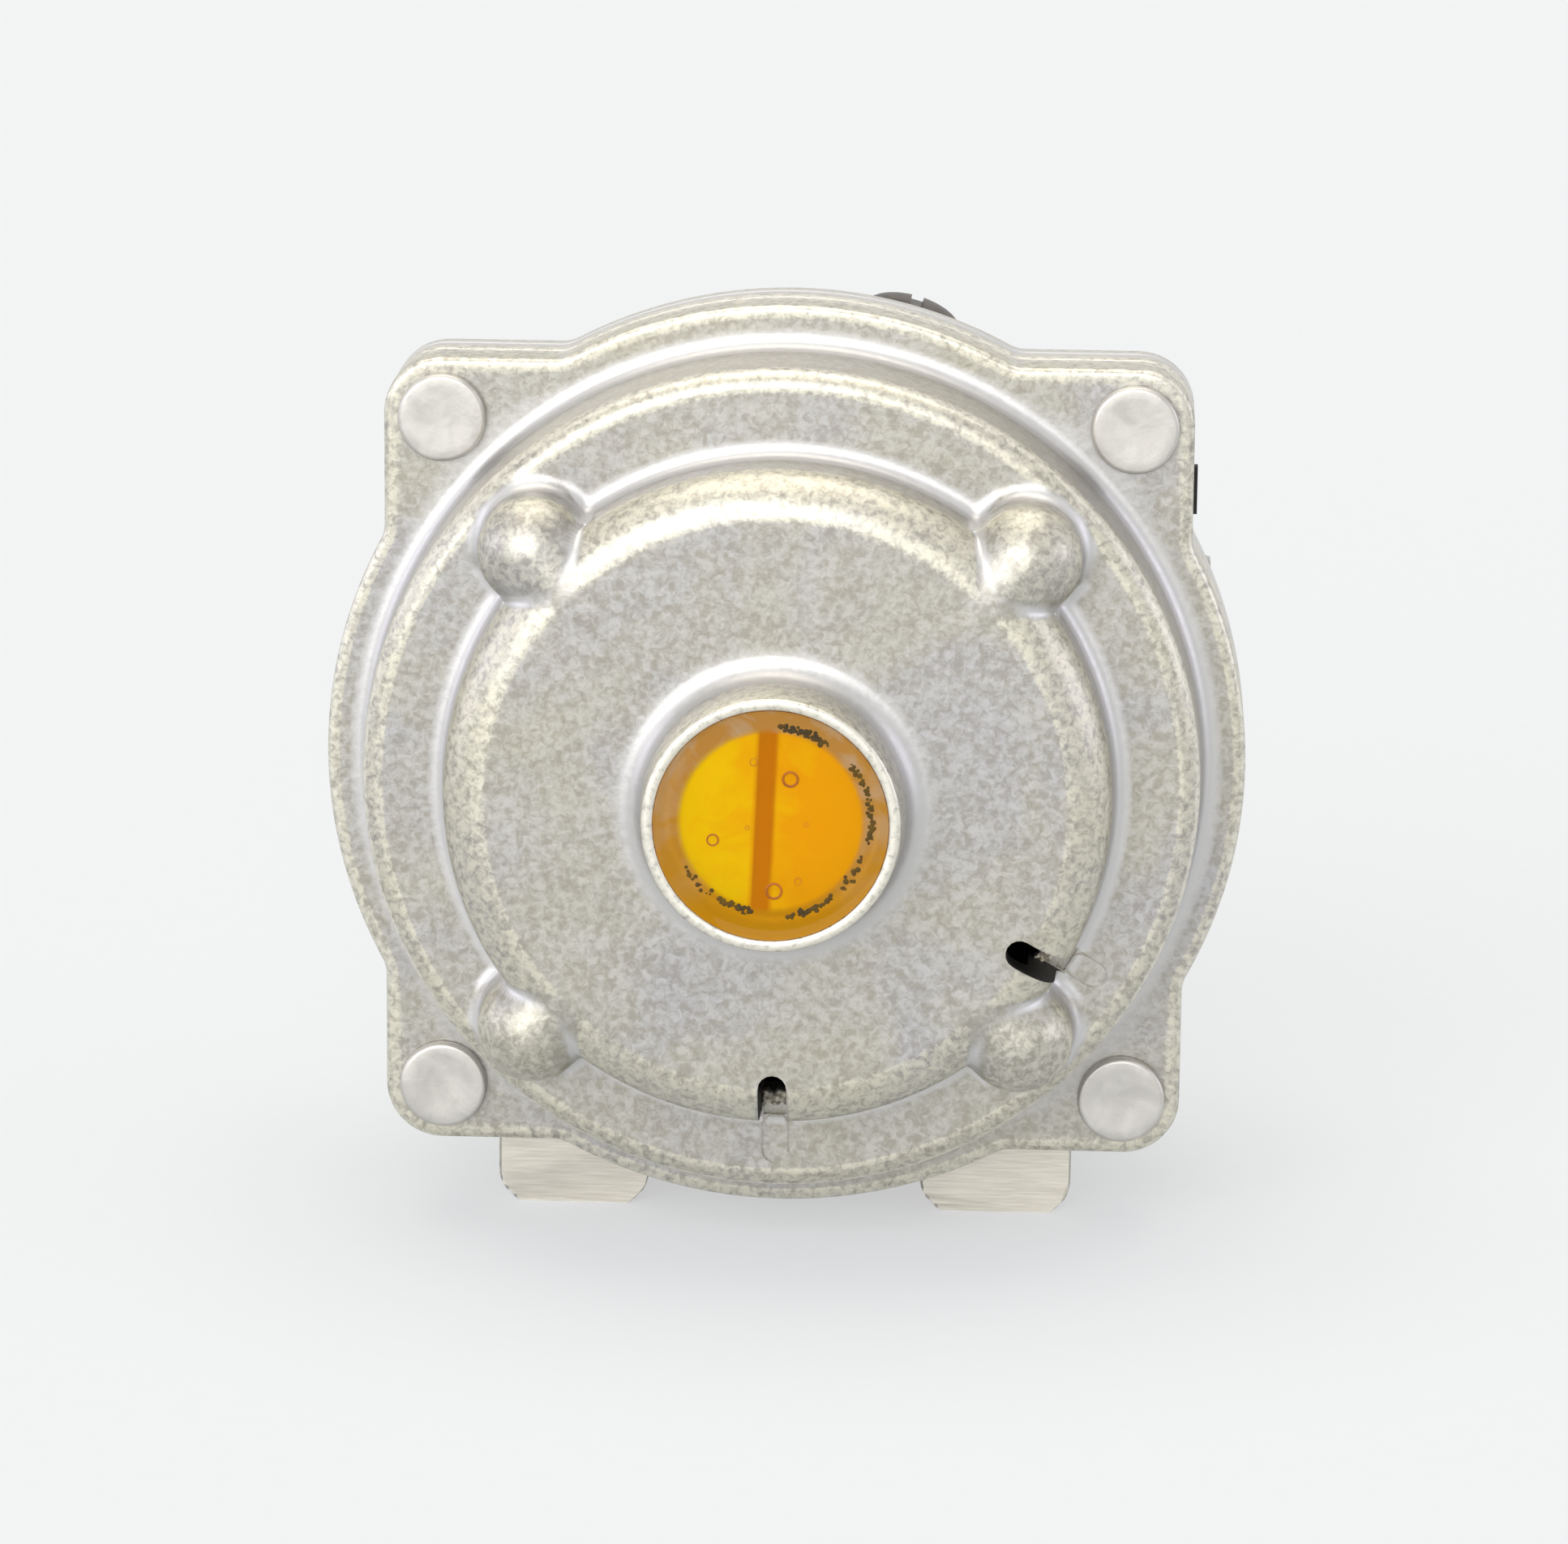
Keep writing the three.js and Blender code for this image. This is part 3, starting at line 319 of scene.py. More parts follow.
def nitrile_rubber(colours):
    """Fabric-backed nitrile sheet: near black, matt, with the faint print of its cloth."""
    material, tree, surface, place = new_material("nitrile_rubber_sheet", Roughness=0.78, IOR=1.52)
    bloom = add(tree, "ShaderNodeTexNoise", {"Vector": place, "Scale": per_metre(3), "Detail": 3})
    toned(tree, surface, bloom, colours.rubber_dark, colours.rubber_bloom, 0.4, 0.7)
    cloth_spacing = 0.6
    thread_scale = per_metre(cloth_spacing) / 6.28
    warp = add(tree, "ShaderNodeTexWave", {
        "Vector": place, "Scale": thread_scale, "Distortion": 0.0}, bands_direction="X")
    weft = add(tree, "ShaderNodeTexWave", {
        "Vector": place, "Scale": thread_scale, "Distortion": 0.0}, bands_direction="Z")
    cloth = add(tree, "ShaderNodeMath", {0: warp.outputs["Fac"], 1: weft.outputs["Fac"]}, operation="ADD")
    bump = add(tree, "ShaderNodeBump", {"Height": cloth.outputs[0], "Strength": 0.3, "Distance": 0.03 * MM})
    tree.links.new(bump.outputs[0], surface.inputs["Normal"])
    return material


def amber_resin(colours):
    """Two-part potting resin, poured and cured: glossy amber, clear enough to show the screw head and its
    slot, cloudy enough to glow. Over the screw's face its colour is painted light, brighter on the left and
    deeper on the right. Over the slot it is painted darker, for the deeper resin and as painted shade in the
    slot. In the deep ring beside the screw it is duller, for the longer path through the resin and as painted
    shade of the narrow well, and paler towards the top."""
    material, tree, surface, place = new_material(
        "amber_potting_resin", Roughness=0.05, IOR=1.3, Transmission_Weight=0.4, Specular_IOR_Level=0.0)
    apart = add(tree, "ShaderNodeSeparateXYZ", {0: place}).outputs
    up = add(tree, "ShaderNodeMath", {0: apart["Z"], 1: float(ORIGIN[2])}, operation="SUBTRACT")
    shown_up = add(tree, "ShaderNodeMath", {0: up.outputs[0], 1: DISC_RISE * MM}, operation="SUBTRACT")
    flat = add(tree, "ShaderNodeCombineXYZ", {0: apart["X"], 1: shown_up.outputs[0]})
    radius = add(tree, "ShaderNodeVectorMath", {0: flat.outputs[0]}, operation="LENGTH").outputs["Value"]
    flow = add(tree, "ShaderNodeTexNoise", {
        "Vector": place, "Scale": per_metre(3.2), "Detail": 3, "Roughness": 0.55, "Distortion": 1.0})
    drift = add(tree, "ShaderNodeMath", {
        0: flow.outputs[0], 1: 12 * MM, 2: apart["X"]}, operation="MULTIPLY_ADD")
    # Painted light: the resin over the screw is painted brighter on the left and deeper on the right, blended
    # by x and a noise
    side = add(tree, "ShaderNodeMapRange", {
        "Value": drift.outputs[0], "From Min": 1.5 * MM, "From Max": 8 * MM})
    disc = add(tree, "ShaderNodeMix", {
        0: side.outputs[0], 6: colours.resin_painted_lit, 7: colours.resin_painted_shaded}, data_type="RGBA")
    # The ring beside the screw is painted duller, for the longer path through the resin and as painted shade
    # of the narrow well, and paler towards the top
    high = add(tree, "ShaderNodeMapRange", {"Value": up.outputs[0], "From Min": -6 * MM, "From Max": 6 * MM})
    shaded = add(tree, "ShaderNodeMix", {
        0: high.outputs[0], 6: colours.resin_low, 7: colours.resin_ring}, data_type="RGBA")
    smudge = add(tree, "ShaderNodeMapRange", {"Value": flow.outputs[0], "From Min": 0.42, "From Max": 0.62})
    hazy = add(tree, "ShaderNodeMath", {0: high.outputs[0], 1: smudge.outputs[0]}, operation="MULTIPLY")
    ring = add(tree, "ShaderNodeMix", {
        0: hazy.outputs[0], 6: shaded.outputs[2], 7: colours.resin_haze}, data_type="RGBA")
    beside = add(tree, "ShaderNodeMapRange", {"Value": radius, "From Min": 6.1 * MM, "From Max": 6.5 * MM})
    # Painted shade: a darker band over the screw's slot, for the deeper resin and the shade in the slot
    leant = add(tree, "ShaderNodeMath", {
        0: up.outputs[0], 1: -math.tan(SLOT_LEAN), 2: apart["X"]}, operation="MULTIPLY_ADD")
    off_slot = add(tree, "ShaderNodeMath", {0: leant.outputs[0], 1: SLOT_OFFSET * MM}, operation="SUBTRACT")
    off_slot = add(tree, "ShaderNodeMath", {0: off_slot.outputs[0]}, operation="ABSOLUTE")
    over_slot = add(tree, "ShaderNodeMapRange", {
        "Value": off_slot.outputs[0], "From Min": 0.9 * MM, "From Max": 0.5 * MM, "To Max": 0.9})
    slotted = add(tree, "ShaderNodeMix", {
        0: over_slot.outputs[0], 6: disc.outputs[2], 7: colours.resin_over_slot_deep_and_shaded}, data_type="RGBA")
    tone = add(tree, "ShaderNodeMix", {
        0: beside.outputs[0], 6: slotted.outputs[2], 7: ring.outputs[2]}, data_type="RGBA")
    tree.links.new(tone.outputs[2], surface.inputs["Base Color"])
    ripple = add(tree, "ShaderNodeTexNoise", {"Vector": place, "Scale": per_metre(5), "Detail": 1})
    bump = add(tree, "ShaderNodeBump", {"Height": ripple.outputs[0], "Strength": 0.3, "Distance": 0.08 * MM})
    tree.links.new(bump.outputs[0], surface.inputs["Normal"])
    return material


def screw_brass(colours):
    """Turned brass seen through the resin: bright, yellow, lightly faced, its slot floor painted darker with
    depth as painted shade.
    """
    material, tree, surface, place = new_material("faced_brass_under_resin", Metallic=0.8, Roughness=0.5)
    haze = add(tree, "ShaderNodeTexNoise", {
        "Vector": place, "Scale": per_metre(4), "Detail": 3, "Roughness": 0.55, "Distortion": 1.0})
    share = add(tree, "ShaderNodeMapRange", {"Value": haze.outputs[0], "From Min": 0.35, "From Max": 0.7})
    tone = add(tree, "ShaderNodeMix", {
        0: share.outputs[0], 6: colours.brass_pale, 7: colours.brass_deep}, data_type="RGBA")
    # Painted shade: the slot's floor darkens with depth below the screw's face
    depth = add(tree, "ShaderNodeSeparateXYZ", {0: place}).outputs["Y"]
    slot_top = float(ORIGIN[1]) + (SCREW_TOP + 0.1) * MM
    slot_shade_share = add(tree, "ShaderNodeMapRange", {
        "Value": depth, "From Min": slot_top, "From Max": slot_top + 0.9 * MM})
    slotted = add(tree, "ShaderNodeMix", {
        0: slot_shade_share.outputs[0], 6: tone.outputs[2], 7: colours.brass_slot_painted_shade}, data_type="RGBA")
    tree.links.new(slotted.outputs[2], surface.inputs["Base Color"])
    return material


# Meshes

def to_row(points):
    """Local millimetres as metres in the row frame."""
    return np.asarray(points, float) * MM + ORIGIN


def new_piece(name, points, faces, material=None, sharp_degrees=32):
    """An object at the origin with its mesh in the row frame, faces outwards and sharp edges marked."""
    mesh = bpy.data.meshes.new(name)
    mesh.from_pydata(to_row(points).tolist(), [], faces)
    piece = bpy.data.objects.new(name, mesh)
    bpy.context.scene.collection.objects.link(piece)
    if signed_volume(mesh) < 0:
        mesh.flip_normals()
    if material:
        mesh.materials.append(material)
    smooth(piece, sharp_degrees)
    return piece


def rows_of(items, name, width, kind=float):
    """A mesh's values by name, one row for each item."""
    values = np.empty(len(items) * width, kind)
    items.foreach_get(name, values)
    return values.reshape(-1, width)


def signed_volume(mesh):
    """Above zero when the faces of a closed mesh point outwards."""
    mesh.calc_loop_triangles()
    points = rows_of(mesh.vertices, "co", 3)
    triangles = rows_of(mesh.loop_triangles, "vertices", 3, np.int64)
    a, b, c = (points[triangles[:, at]] - points.mean(0) for at in range(3))
    return np.einsum("ij,ij->i", a, np.cross(b, c)).sum()


def smooth(piece, sharp_degrees):
    """Shades a piece smooth except where its faces meet at more than this angle."""
    piece.data.shade_smooth()
    piece.data.set_sharp_from_angle(angle=math.radians(sharp_degrees))


def without_empty_slots(mesh):
    """Takes out the material slots that hold nothing and points the faces at the rest."""
    slots = list(mesh.materials)
    kept = [material for material in slots if material]
    if not kept or len(kept) == len(slots):
        return mesh
    index = rows_of(mesh.polygons, "material_index", 1, np.int32)[:, 0]
    moved = np.array([kept.index(material) if material else 0 for material in slots], np.int32)
    mesh.materials.clear()
    for material in kept:
        mesh.materials.append(material)
    mesh.polygons.foreach_set("material_index", moved[index])
    return mesh


def baked(piece):
    """Turns a piece's modifiers into a plain mesh."""
    graph = bpy.context.evaluated_depsgraph_get()
    mesh = without_empty_slots(bpy.data.meshes.new_from_object(piece.evaluated_get(graph)))
    old = piece.data
    piece.modifiers.clear()
    piece.data = mesh
    mesh.name = old.name
    bpy.data.meshes.remove(old)
    return piece


def shaped(piece, tools, operation="DIFFERENCE"):
    """Cuts the tools from a piece, or joins them to it, and removes them."""
    for tool in tools:
        if piece.data.materials and not tool.data.materials:
            tool.data.materials.append(piece.data.materials[0])
        step = piece.modifiers.new(operation.lower(), "BOOLEAN")
        step.object, step.operation, step.solver = tool, operation, "MANIFOLD"
    before = len(piece.data.vertices)
    baked(piece)
    for tool in tools:
        drop(tool)
    if len(piece.data.vertices) < before / 4:
        raise RuntimeError(f"{piece.name}: a cut failed")
    return piece


def drop(piece):
    """Removes an object and its mesh."""
    mesh = piece.data
    bpy.data.objects.remove(piece)
    bpy.data.meshes.remove(mesh)


def turned_points(profile, sides, axis="y", at=(0, 0, 0)):
    """Points and faces of a closed profile of [radius, station] turned about a line along the axis."""
    profile = [(max(r, 0.0), s) for r, s in profile]
    angles = np.arange(sides) * TURN / sides
    points, rings = [], []
    for radius, station in profile:
        if radius < 1e-9:
            rings.append([len(points)])
            points.append((0.0, station, 0.0))
        else:
            rings.append(list(range(len(points), len(points) + sides)))
            points += [(radius * math.cos(a), station, radius * math.sin(a)) for a in angles]
    faces = []
    whole = list(zip(rings, rings[1:]))
    if len(rings[0]) > 1:
        whole.append((rings[-1], rings[0]))
    for one, two in whole:
        for side in range(sides):
            after = (side + 1) % sides
            if len(one) > 1 and len(two) > 1:
                faces.append((one[side], one[after], two[after], two[side]))
            elif len(one) > 1:
                faces.append((one[side], one[after], two[0]))
            elif len(two) > 1:
                faces.append((one[0], two[after], two[side]))
    points = np.array(points)
    if axis == "x":
        points = points[:, [1, 0, 2]]
    if axis == "z":
        points = points[:, [0, 2, 1]]
    return points + np.array(at, float), faces


def turned(name, profile, sides=96, axis="y", at=(0, 0, 0), material=None, sharp_degrees=32):
    """A piece turned from a profile of [radius, station]."""
    return new_piece(name, *turned_points(profile, sides, axis, at), material, sharp_degrees)


def eased(profile, radius, steps=4, closed=True):
    """A profile with its corners off the axis rounded to a radius, or to what the sides leave room for."""
    nearly_straight, most_share = math.radians(85), 0.48
    result = []
    count = len(profile)
    for at, corner in enumerate(profile):
        before, after = profile[at - 1], profile[(at + 1) % count]
        here = Vector(corner)
        if corner[0] < 1e-9 or (not closed and at in (0, count - 1)):
            result.append(tuple(here))
            continue
        one, two = Vector(before) - here, Vector(after) - here
        if one.length < 1e-9 or two.length < 1e-9:
            result.append(tuple(here))
            continue
        half = one.angle(two) / 2
        if half > nearly_straight:
            result.append(tuple(here))
            continue
        reach = min(radius / math.tan(half), one.length * most_share, two.length * most_share)
        start, end = here + one.normalized() * reach, here + two.normalized() * reach
        bend = reach * math.tan(half)
        centre = here + (one.normalized() + two.normalized()).normalized() * (bend / math.sin(half))
        a, b = start - centre, end - centre
        for step in range(steps + 1):
            share = step / steps
            angle = a.angle(b)
            if angle < 1e-6:
                continue
            spot = (a * math.sin((1 - share) * angle) + b * math.sin(share * angle)) / math.sin(angle)
            result.append(tuple(centre + spot))
    return result


def rod(radius, start, end, axis="y", at=(0, 0, 0), sides=48, ease=0.0):
    """A rod between two stations, as a tool or as the start of a piece."""
    profile = [(0, start), (radius, start), (radius, end), (0, end)]
    return turned("tool", eased(profile, ease) if ease else profile, sides, axis, at)


def block_points(x, y, z):
    """Corners and faces of a box between limits."""
    points = [(a, b, c) for a in x for b in y for c in z]
    return points, [(0, 1, 3, 2), (4, 6, 7, 5), (0, 4, 5, 1), (2, 3, 7, 6), (0, 2, 6, 4), (1, 5, 7, 3)]


def block(x, y, z):
    """A box between limits, as a tool."""
    return new_piece("tool", *block_points(x, y, z))


def prism(outline, start, end):
    """An outline of (x, z) points carried from one depth to another."""
    count = len(outline)
    points = [(x, depth, z) for depth in (start, end) for x, z in outline]
    faces = [tuple(range(count)), tuple(range(2 * count - 1, count - 1, -1))]
    faces += [((at + 1) % count, at, count + at, count + (at + 1) % count) for at in range(count)]
    return new_piece("tool", points, faces)


def ring_grid(grid):
    """Points and faces of a closed tube given as [column, row, xyz], closed both ways."""
    columns, rows, _ = grid.shape
    index = np.arange(columns * rows).reshape(columns, rows)
    right, up = np.roll(index, -1, 0), np.roll(index, -1, 1)
    both = np.roll(right, -1, 1)
    faces = np.stack([index, right, both, up], -1).reshape(-1, 4)
    return grid.reshape(-1, 3), faces.tolist()


def bend_attributes(piece):
    """Stores how strongly the surface bulges (edge_wear, tight_edge) and curves inwards
    (painted_fillet_highlight, which drives the painted highlight in the fillets).
    """
    mesh = piece.data
    count = len(mesh.vertices)
    points = rows_of(mesh.vertices, "co", 3) / MM
    normals = rows_of(mesh.vertices, "normal", 3)
    a, b = rows_of(mesh.edges, "vertices", 2, np.int64).T
    apart = points[b] - points[a]
    square = np.maximum((apart ** 2).sum(1), 1e-4)
    bend = ((normals[b] - normals[a]) * apart).sum(1) / square
    # The inward measure sets where the fillets get their painted highlight
    bends = (("edge_wear", 1, 0.06, 0.3), ("tight_edge", 1, 0.8, 2.6), ("painted_fillet_highlight", -1, 0.25, 0.65))
    for name, sign, low, high in bends:
        most = np.zeros(count)
        np.maximum.at(most, a, sign * bend)
        np.maximum.at(most, b, sign * bend)
        for _ in range(2 if sign > 0 else 1):
            spread = np.zeros(count)
            number = np.zeros(count)
            for one, two in ((a, b), (b, a)):
                np.add.at(spread, one, most[two])
                np.add.at(number, one, 1)
            most = 0.5 * most + 0.5 * spread / np.maximum(number, 1)
        value = np.clip((most - low) / (high - low), 0, 1)
        layer = mesh.attributes.new(name, "FLOAT", "POINT")
        layer.data.foreach_set("value", value.astype(np.float32))


# The castings' shapes

def outline_radius(angles, inset=0.0):
    """How far the flange's outline lies from the centre: square with round corners, and the round rim."""
    side, rim = FLANGE_SIDE - inset, RIM_RADIUS - inset
    blend, corner = FLANGE_BLEND + inset, FLANGE_CORNER - inset
    blend_at = np.array([side + blend, math.sqrt((rim + blend) ** 2 - (side + blend) ** 2)])
    corner_at = np.full(2, FLANGE_SIDE - FLANGE_CORNER)
    folded = np.mod(angles, TURN / 4)
    folded = np.minimum(folded, TURN / 4 - folded)
    rim_end = math.atan2(blend_at[1], blend_at[0])
    blend_end = math.atan2(blend_at[1], side)
    corner_start = math.atan2(corner_at[1], side)
    along = np.stack([np.cos(folded), np.sin(folded)], -1)

    def crossing(centre, radius, sign):
        """Where a ray from the centre line meets a circle, on its near or its far side."""
        middle = along @ centre
        apart = centre @ centre - middle ** 2
        return middle + sign * np.sqrt(np.maximum(radius ** 2 - apart, 0))

    return np.select(
        [folded <= rim_end, folded <= blend_end, folded <= corner_start],
        [np.full_like(folded, rim), crossing(blend_at, blend, -1), side / np.cos(folded)],
        crossing(corner_at, corner, 1),
    )


def along_and_across(x, z, angle):
    """How far a place lies along a direction from the centre line, and how far beside it."""
    cos, sin = math.cos(angle), math.sin(angle)
    return x * cos + z * sin, z * cos - x * sin


def soft_least(a, b, reach):
    """The lesser of two values, run smoothly together where they differ by less than reach."""
    share = np.clip(reach - np.abs(a - b), 0, None) / reach
    return np.minimum(a, b) - share ** 2 * reach / 4


def soft_most(a, b, reach):
    """The greater of two values, run smoothly together where they differ by less than reach."""
    return -soft_least(-a, -b, reach)


def foot_fillet(distance, foot, radius, draft):
    """Height of the fillet at the foot of a drafted wall whose foot is at distance zero."""
    centre = radius * (1 - math.sin(draft)) / math.cos(draft)
    fall = np.sqrt(np.maximum(radius ** 2 - (distance - centre) ** 2, 0))
    curve = foot + radius - fall
    wall_from, far_below = centre - radius * math.cos(draft), -1e3
    return np.where(distance > centre, foot, np.where(distance < wall_from, far_below, curve))


def rounded_top(distance, top, radius, draft, foot):
    """Height of a flat top that rounds over into a wall with its foot at distance zero."""
    centre = (-radius - (top - radius - foot) * math.sin(draft)) / math.cos(draft)
    inside = np.sqrt(np.maximum(radius ** 2 - np.maximum(distance - centre, 0) ** 2, 0))
    return np.where(distance <= centre, top, top - radius + inside)


def dome_height(radius, angles, size):
    """Height of the cover's dome in front of its flange: shelf, crown and the four ball-ended lobes."""
    draft = size.draft
    steep = math.tan(draft)
    shelf_at = radius - SHELF_RADIUS
    shelf_top = rounded_top(shelf_at, SHELF_HEIGHT, SHELF_ROUNDING, draft, 0)
    shelf = np.minimum(shelf_top, -shelf_at / steep)
    shelf = np.maximum(shelf, foot_fillet(shelf_at, 0, SHELF_FILLET, draft))
    crown_at = radius - CROWN_RADIUS
    folded = np.mod(angles, TURN / 4) - TURN / 8
    past_ball = np.maximum(radius * np.cos(folded) - LOBE_REACH, 0)
    lobe_from = np.sqrt(past_ball ** 2 + (radius * np.sin(folded)) ** 2)
    lobe_at = lobe_from - LOBE_RADIUS
    crown_top = rounded_top(crown_at, CROWN_HEIGHT, CROWN_ROUNDING, draft, SHELF_HEIGHT)
    ball = LOBE_BALL_HEIGHT + np.sqrt(np.maximum(LOBE_RADIUS ** 2 - lobe_from ** 2, 0))
    tops = soft_most(crown_top, ball, size.lobe_blend / MM)
    plan = soft_least(crown_at, lobe_at, size.lobe_fillet / MM)
    crown = soft_least(tops, SHELF_HEIGHT - plan / steep, 0.3)
    crown = np.maximum(crown, foot_fillet(plan, SHELF_HEIGHT, CROWN_FILLET, draft))
    return np.maximum(shelf + np.maximum(crown, SHELF_HEIGHT) - SHELF_HEIGHT, 0)


def even_rows(start, end, angles, count, size):
    """Radii and heights along each column, spaced by length along the surface and by how much it turns."""
    samples, turn_weight, most_turn = 420, 0.7, 0.6
    fine = np.linspace(start, end, samples)
    height = dome_height(fine[None, :], angles[:, None], size)
    rise, run = np.diff(height, axis=1), np.diff(fine)[None, :]
    lean = np.arctan2(rise, run)
    turning = np.abs(np.diff(lean, axis=1, prepend=lean[:, :1]))
    turned_by = turn_weight * np.minimum(turning, most_turn)
    travelled = np.cumsum(np.sqrt(rise ** 2 + run ** 2) + turned_by, axis=1)
    travelled = np.concatenate([np.zeros((len(angles), 1)), travelled], 1)
    radii = np.stack([
        np.interp(np.linspace(0, path[-1], count), path, fine) for path in travelled])
    return radii, dome_height(radii, angles[:, None], size)


def outline_rows(angles, pairs):
    """Radii and heights of rows given as (inset from the flange's outline, height)."""
    radii = np.stack([outline_radius(angles, inset) for inset, _ in pairs], 1)
    return radii, np.ones_like(radii) * [height for _, height in pairs]


def circle_rows(angles, pairs):
    """Radii and heights of rows given as (radius, height)."""
    pairs = np.array(pairs, float)
    ones = np.ones((len(angles), 1))
    return ones * pairs[:, 0], ones * pairs[:, 1]


def grid_round(angles, *parts):
    """A grid of [column, row, xyz] round the centre line, from parts of (radii, depths)."""
    radii, depths = (np.concatenate(values, 1) for values in zip(*parts))
    return np.stack([radii * np.cos(angles)[:, None], depths, radii * np.sin(angles)[:, None]], -1)


def cover_grid(size):
    """The whole cover as one closed grid of [column, row, xyz], before its holes are cut."""
    fine_step, plain_step, lobe_zone = 0.42, 0.9, 19
    steps = []
    angle = 0.0
    while angle < 360:
        steps.append(angle)
        near_lobe = abs((angle % 90) - 45) < lobe_zone
        angle += fine_step if near_lobe else plain_step
    angles = np.radians(np.array(steps))
    boss = eased([
        (WELL_RADIUS, WELL_FLOOR), (WELL_RADIUS, BOSS_HEIGHT), (8.85, BOSS_HEIGHT), (9.12, 16.3)],
        0.3, 3, closed=False)[1:-1]
    boss_fillet = 1.7
    fillet = [(10.84 - boss_fillet * math.cos(a), CROWN_HEIGHT + boss_fillet - boss_fillet * math.sin(a))
              for a in np.linspace(0.06, math.pi / 2, 10)]
    plateau = [(radius, CROWN_HEIGHT) for radius in (11.4, 12.6, 14.2, 16, 17.6)]
    lip = -(COVER_FLANGE + size.cover_lip / MM)
    easing = 0.45
    side = [(0.8, 0.0)]
    side += [(easing * (1 - math.sin(a)), -easing * (1 - math.cos(a)))
             for a in np.linspace(0, math.pi / 2, 5)]
    side += [(0, -1.6), (0, lip + 0.25), (0.06, lip + 0.08), (0.2, lip), (1.05, lip), (1.2, -COVER_FLANGE)]
    edge = outline_rows(angles, side)
    flat_from = 30.65
    flat = flat_from + (edge[0][:, :1] - flat_from) * np.array([0.33, 0.66])
    chamber, chamber_top, spring_room, spring_top = 27.2, 5.5, 21.0, 12.1
    sleeve_outside, sleeve_end, sleeve_bore = 8.9, 9.9, 6.6
    cavity = [(chamber, -COVER_FLANGE)] + eased([
        (chamber, -COVER_FLANGE), (chamber, chamber_top), (spring_room, chamber_top),
        (spring_room, spring_top), (sleeve_outside, spring_top), (sleeve_outside, sleeve_end),
        (sleeve_bore, sleeve_end), (sleeve_bore, WELL_FLOOR), (WELL_RADIUS, WELL_FLOOR),
        (WELL_RADIUS, BOSS_HEIGHT)],
        0.8, 3, closed=False)[1:-1]
    grid = grid_round(
        angles, circle_rows(angles, boss + fillet + plateau), even_rows(18.6, 28.1, angles, 52, size),
        even_rows(28.2, flat_from, angles, 22, size), (flat, np.zeros_like(flat)), edge,
        circle_rows(angles, cavity))
    return grid * [1, -1, 1]


def paint(piece, finish, chosen):
    """Gives a finish to the faces that chosen(x, y, z, normal) picks by their centres in millimetres."""
    piece.data.materials.append(finish_of(finish))
    slot = len(piece.data.materials) - 1
    for face in piece.data.polygons:
        if chosen(*((np.array(face.center) - ORIGIN) / MM), face.normal):
            face.material_index = slot


def painted_shade_in_cover(x, y, z, normal):
    """True in the spring chamber and on the breather slots' walls, the faces painted nearly black as painted
    shade.
    """
    radius = math.hypot(x, z)
    if 6.8 < radius < 27.25 and (y > -5.6 or (y > -12.2 and radius < 21.05)):
        return True
    for degrees, start, _ in SLOTS:
        along, across = along_and_across(x, z, math.radians(degrees))
        if start - 0.05 < along < 23.4 and abs(across) < 1.03 and y < -7.4 and abs(normal.y) < 0.5:
            return True
    return False


def painted_limb_highlight(piece):
    """Adds a painted highlight line to the tight_edge attribute, where the shelf's round edge meets its wall:
    a painted reflection of the bright floor.
    """
    mesh = piece.data
    x, y, z = ((rows_of(mesh.vertices, "co", 3) - ORIGIN) / MM).T
    layer = mesh.attributes["tight_edge"].data
    value = rows_of(layer, "value", 1)[:, 0]
    line = np.where((y < -6) & (y > -8), np.exp(-((np.hypot(x, z) - 29.1) / 0.2) ** 2), 0)
    layer.foreach_set("value", np.maximum(value, line).astype(np.float32))


def machined_body(x, y, z, normal):
    """True on the body's cut faces: port faces and bores, rear face, and the soles of the feet."""
    in_bore = math.hypot(y - PORT_AXIS, z) < 6.8 and abs(x) > SEAT_FACE - 0.065
    port_face = abs(x) > PORT_FACE - 0.01 and y > BODY_REAR and abs(normal.x) > 0.9
    sole = z < 0.01 - AXIS_HEIGHT and normal.z < -0.9
    return in_bore or port_face or y > BODY_BACK - 0.01 or sole


def ground_front(x, y, z, normal):
    """True on the feet's ground fronts."""
    return z < -28.9 and abs(y - FOOT_FRONT) < 0.02 and normal.y < -0.99


def slot_flash(name, degrees, radius):
    """A torn lump of flash that the trimming left on a slot's ledge."""
    angle = math.radians(degrees)
    at = radius * np.array([math.cos(angle), 0, math.sin(angle)])

    def field(x, y, z):
        """A small block across the slot with a torn surface."""
        along, across = along_and_across(x - at[0], z - at[2], angle)
        rough = 0.14 * np.sin(7.3 * across + 2.1 * along + degrees) + 0.1 * np.sin(11 * along - 5 * across)
        rough += 0.03 * np.sin(19 * along + 15 * across)
        return block_field(along, y, across, [(-0.55, 0.5), (-8.5, -7.6), (-0.98, 0.98)], 0.16) + 0.7 * rough

    low, high = at - [1.7, 0, 1.7], at + [1.7, 0, 1.7]
    low[1], high[1] = -9.4, -7.0
    piece = sampled_solid(name, field, low, high, 0.09)
    # Both tones of the flash are painted paler, as painted light lifting the slot's shade
    piece.data.materials.append(finish_of("flash"))
    smooth(piece, 40)
    return piece


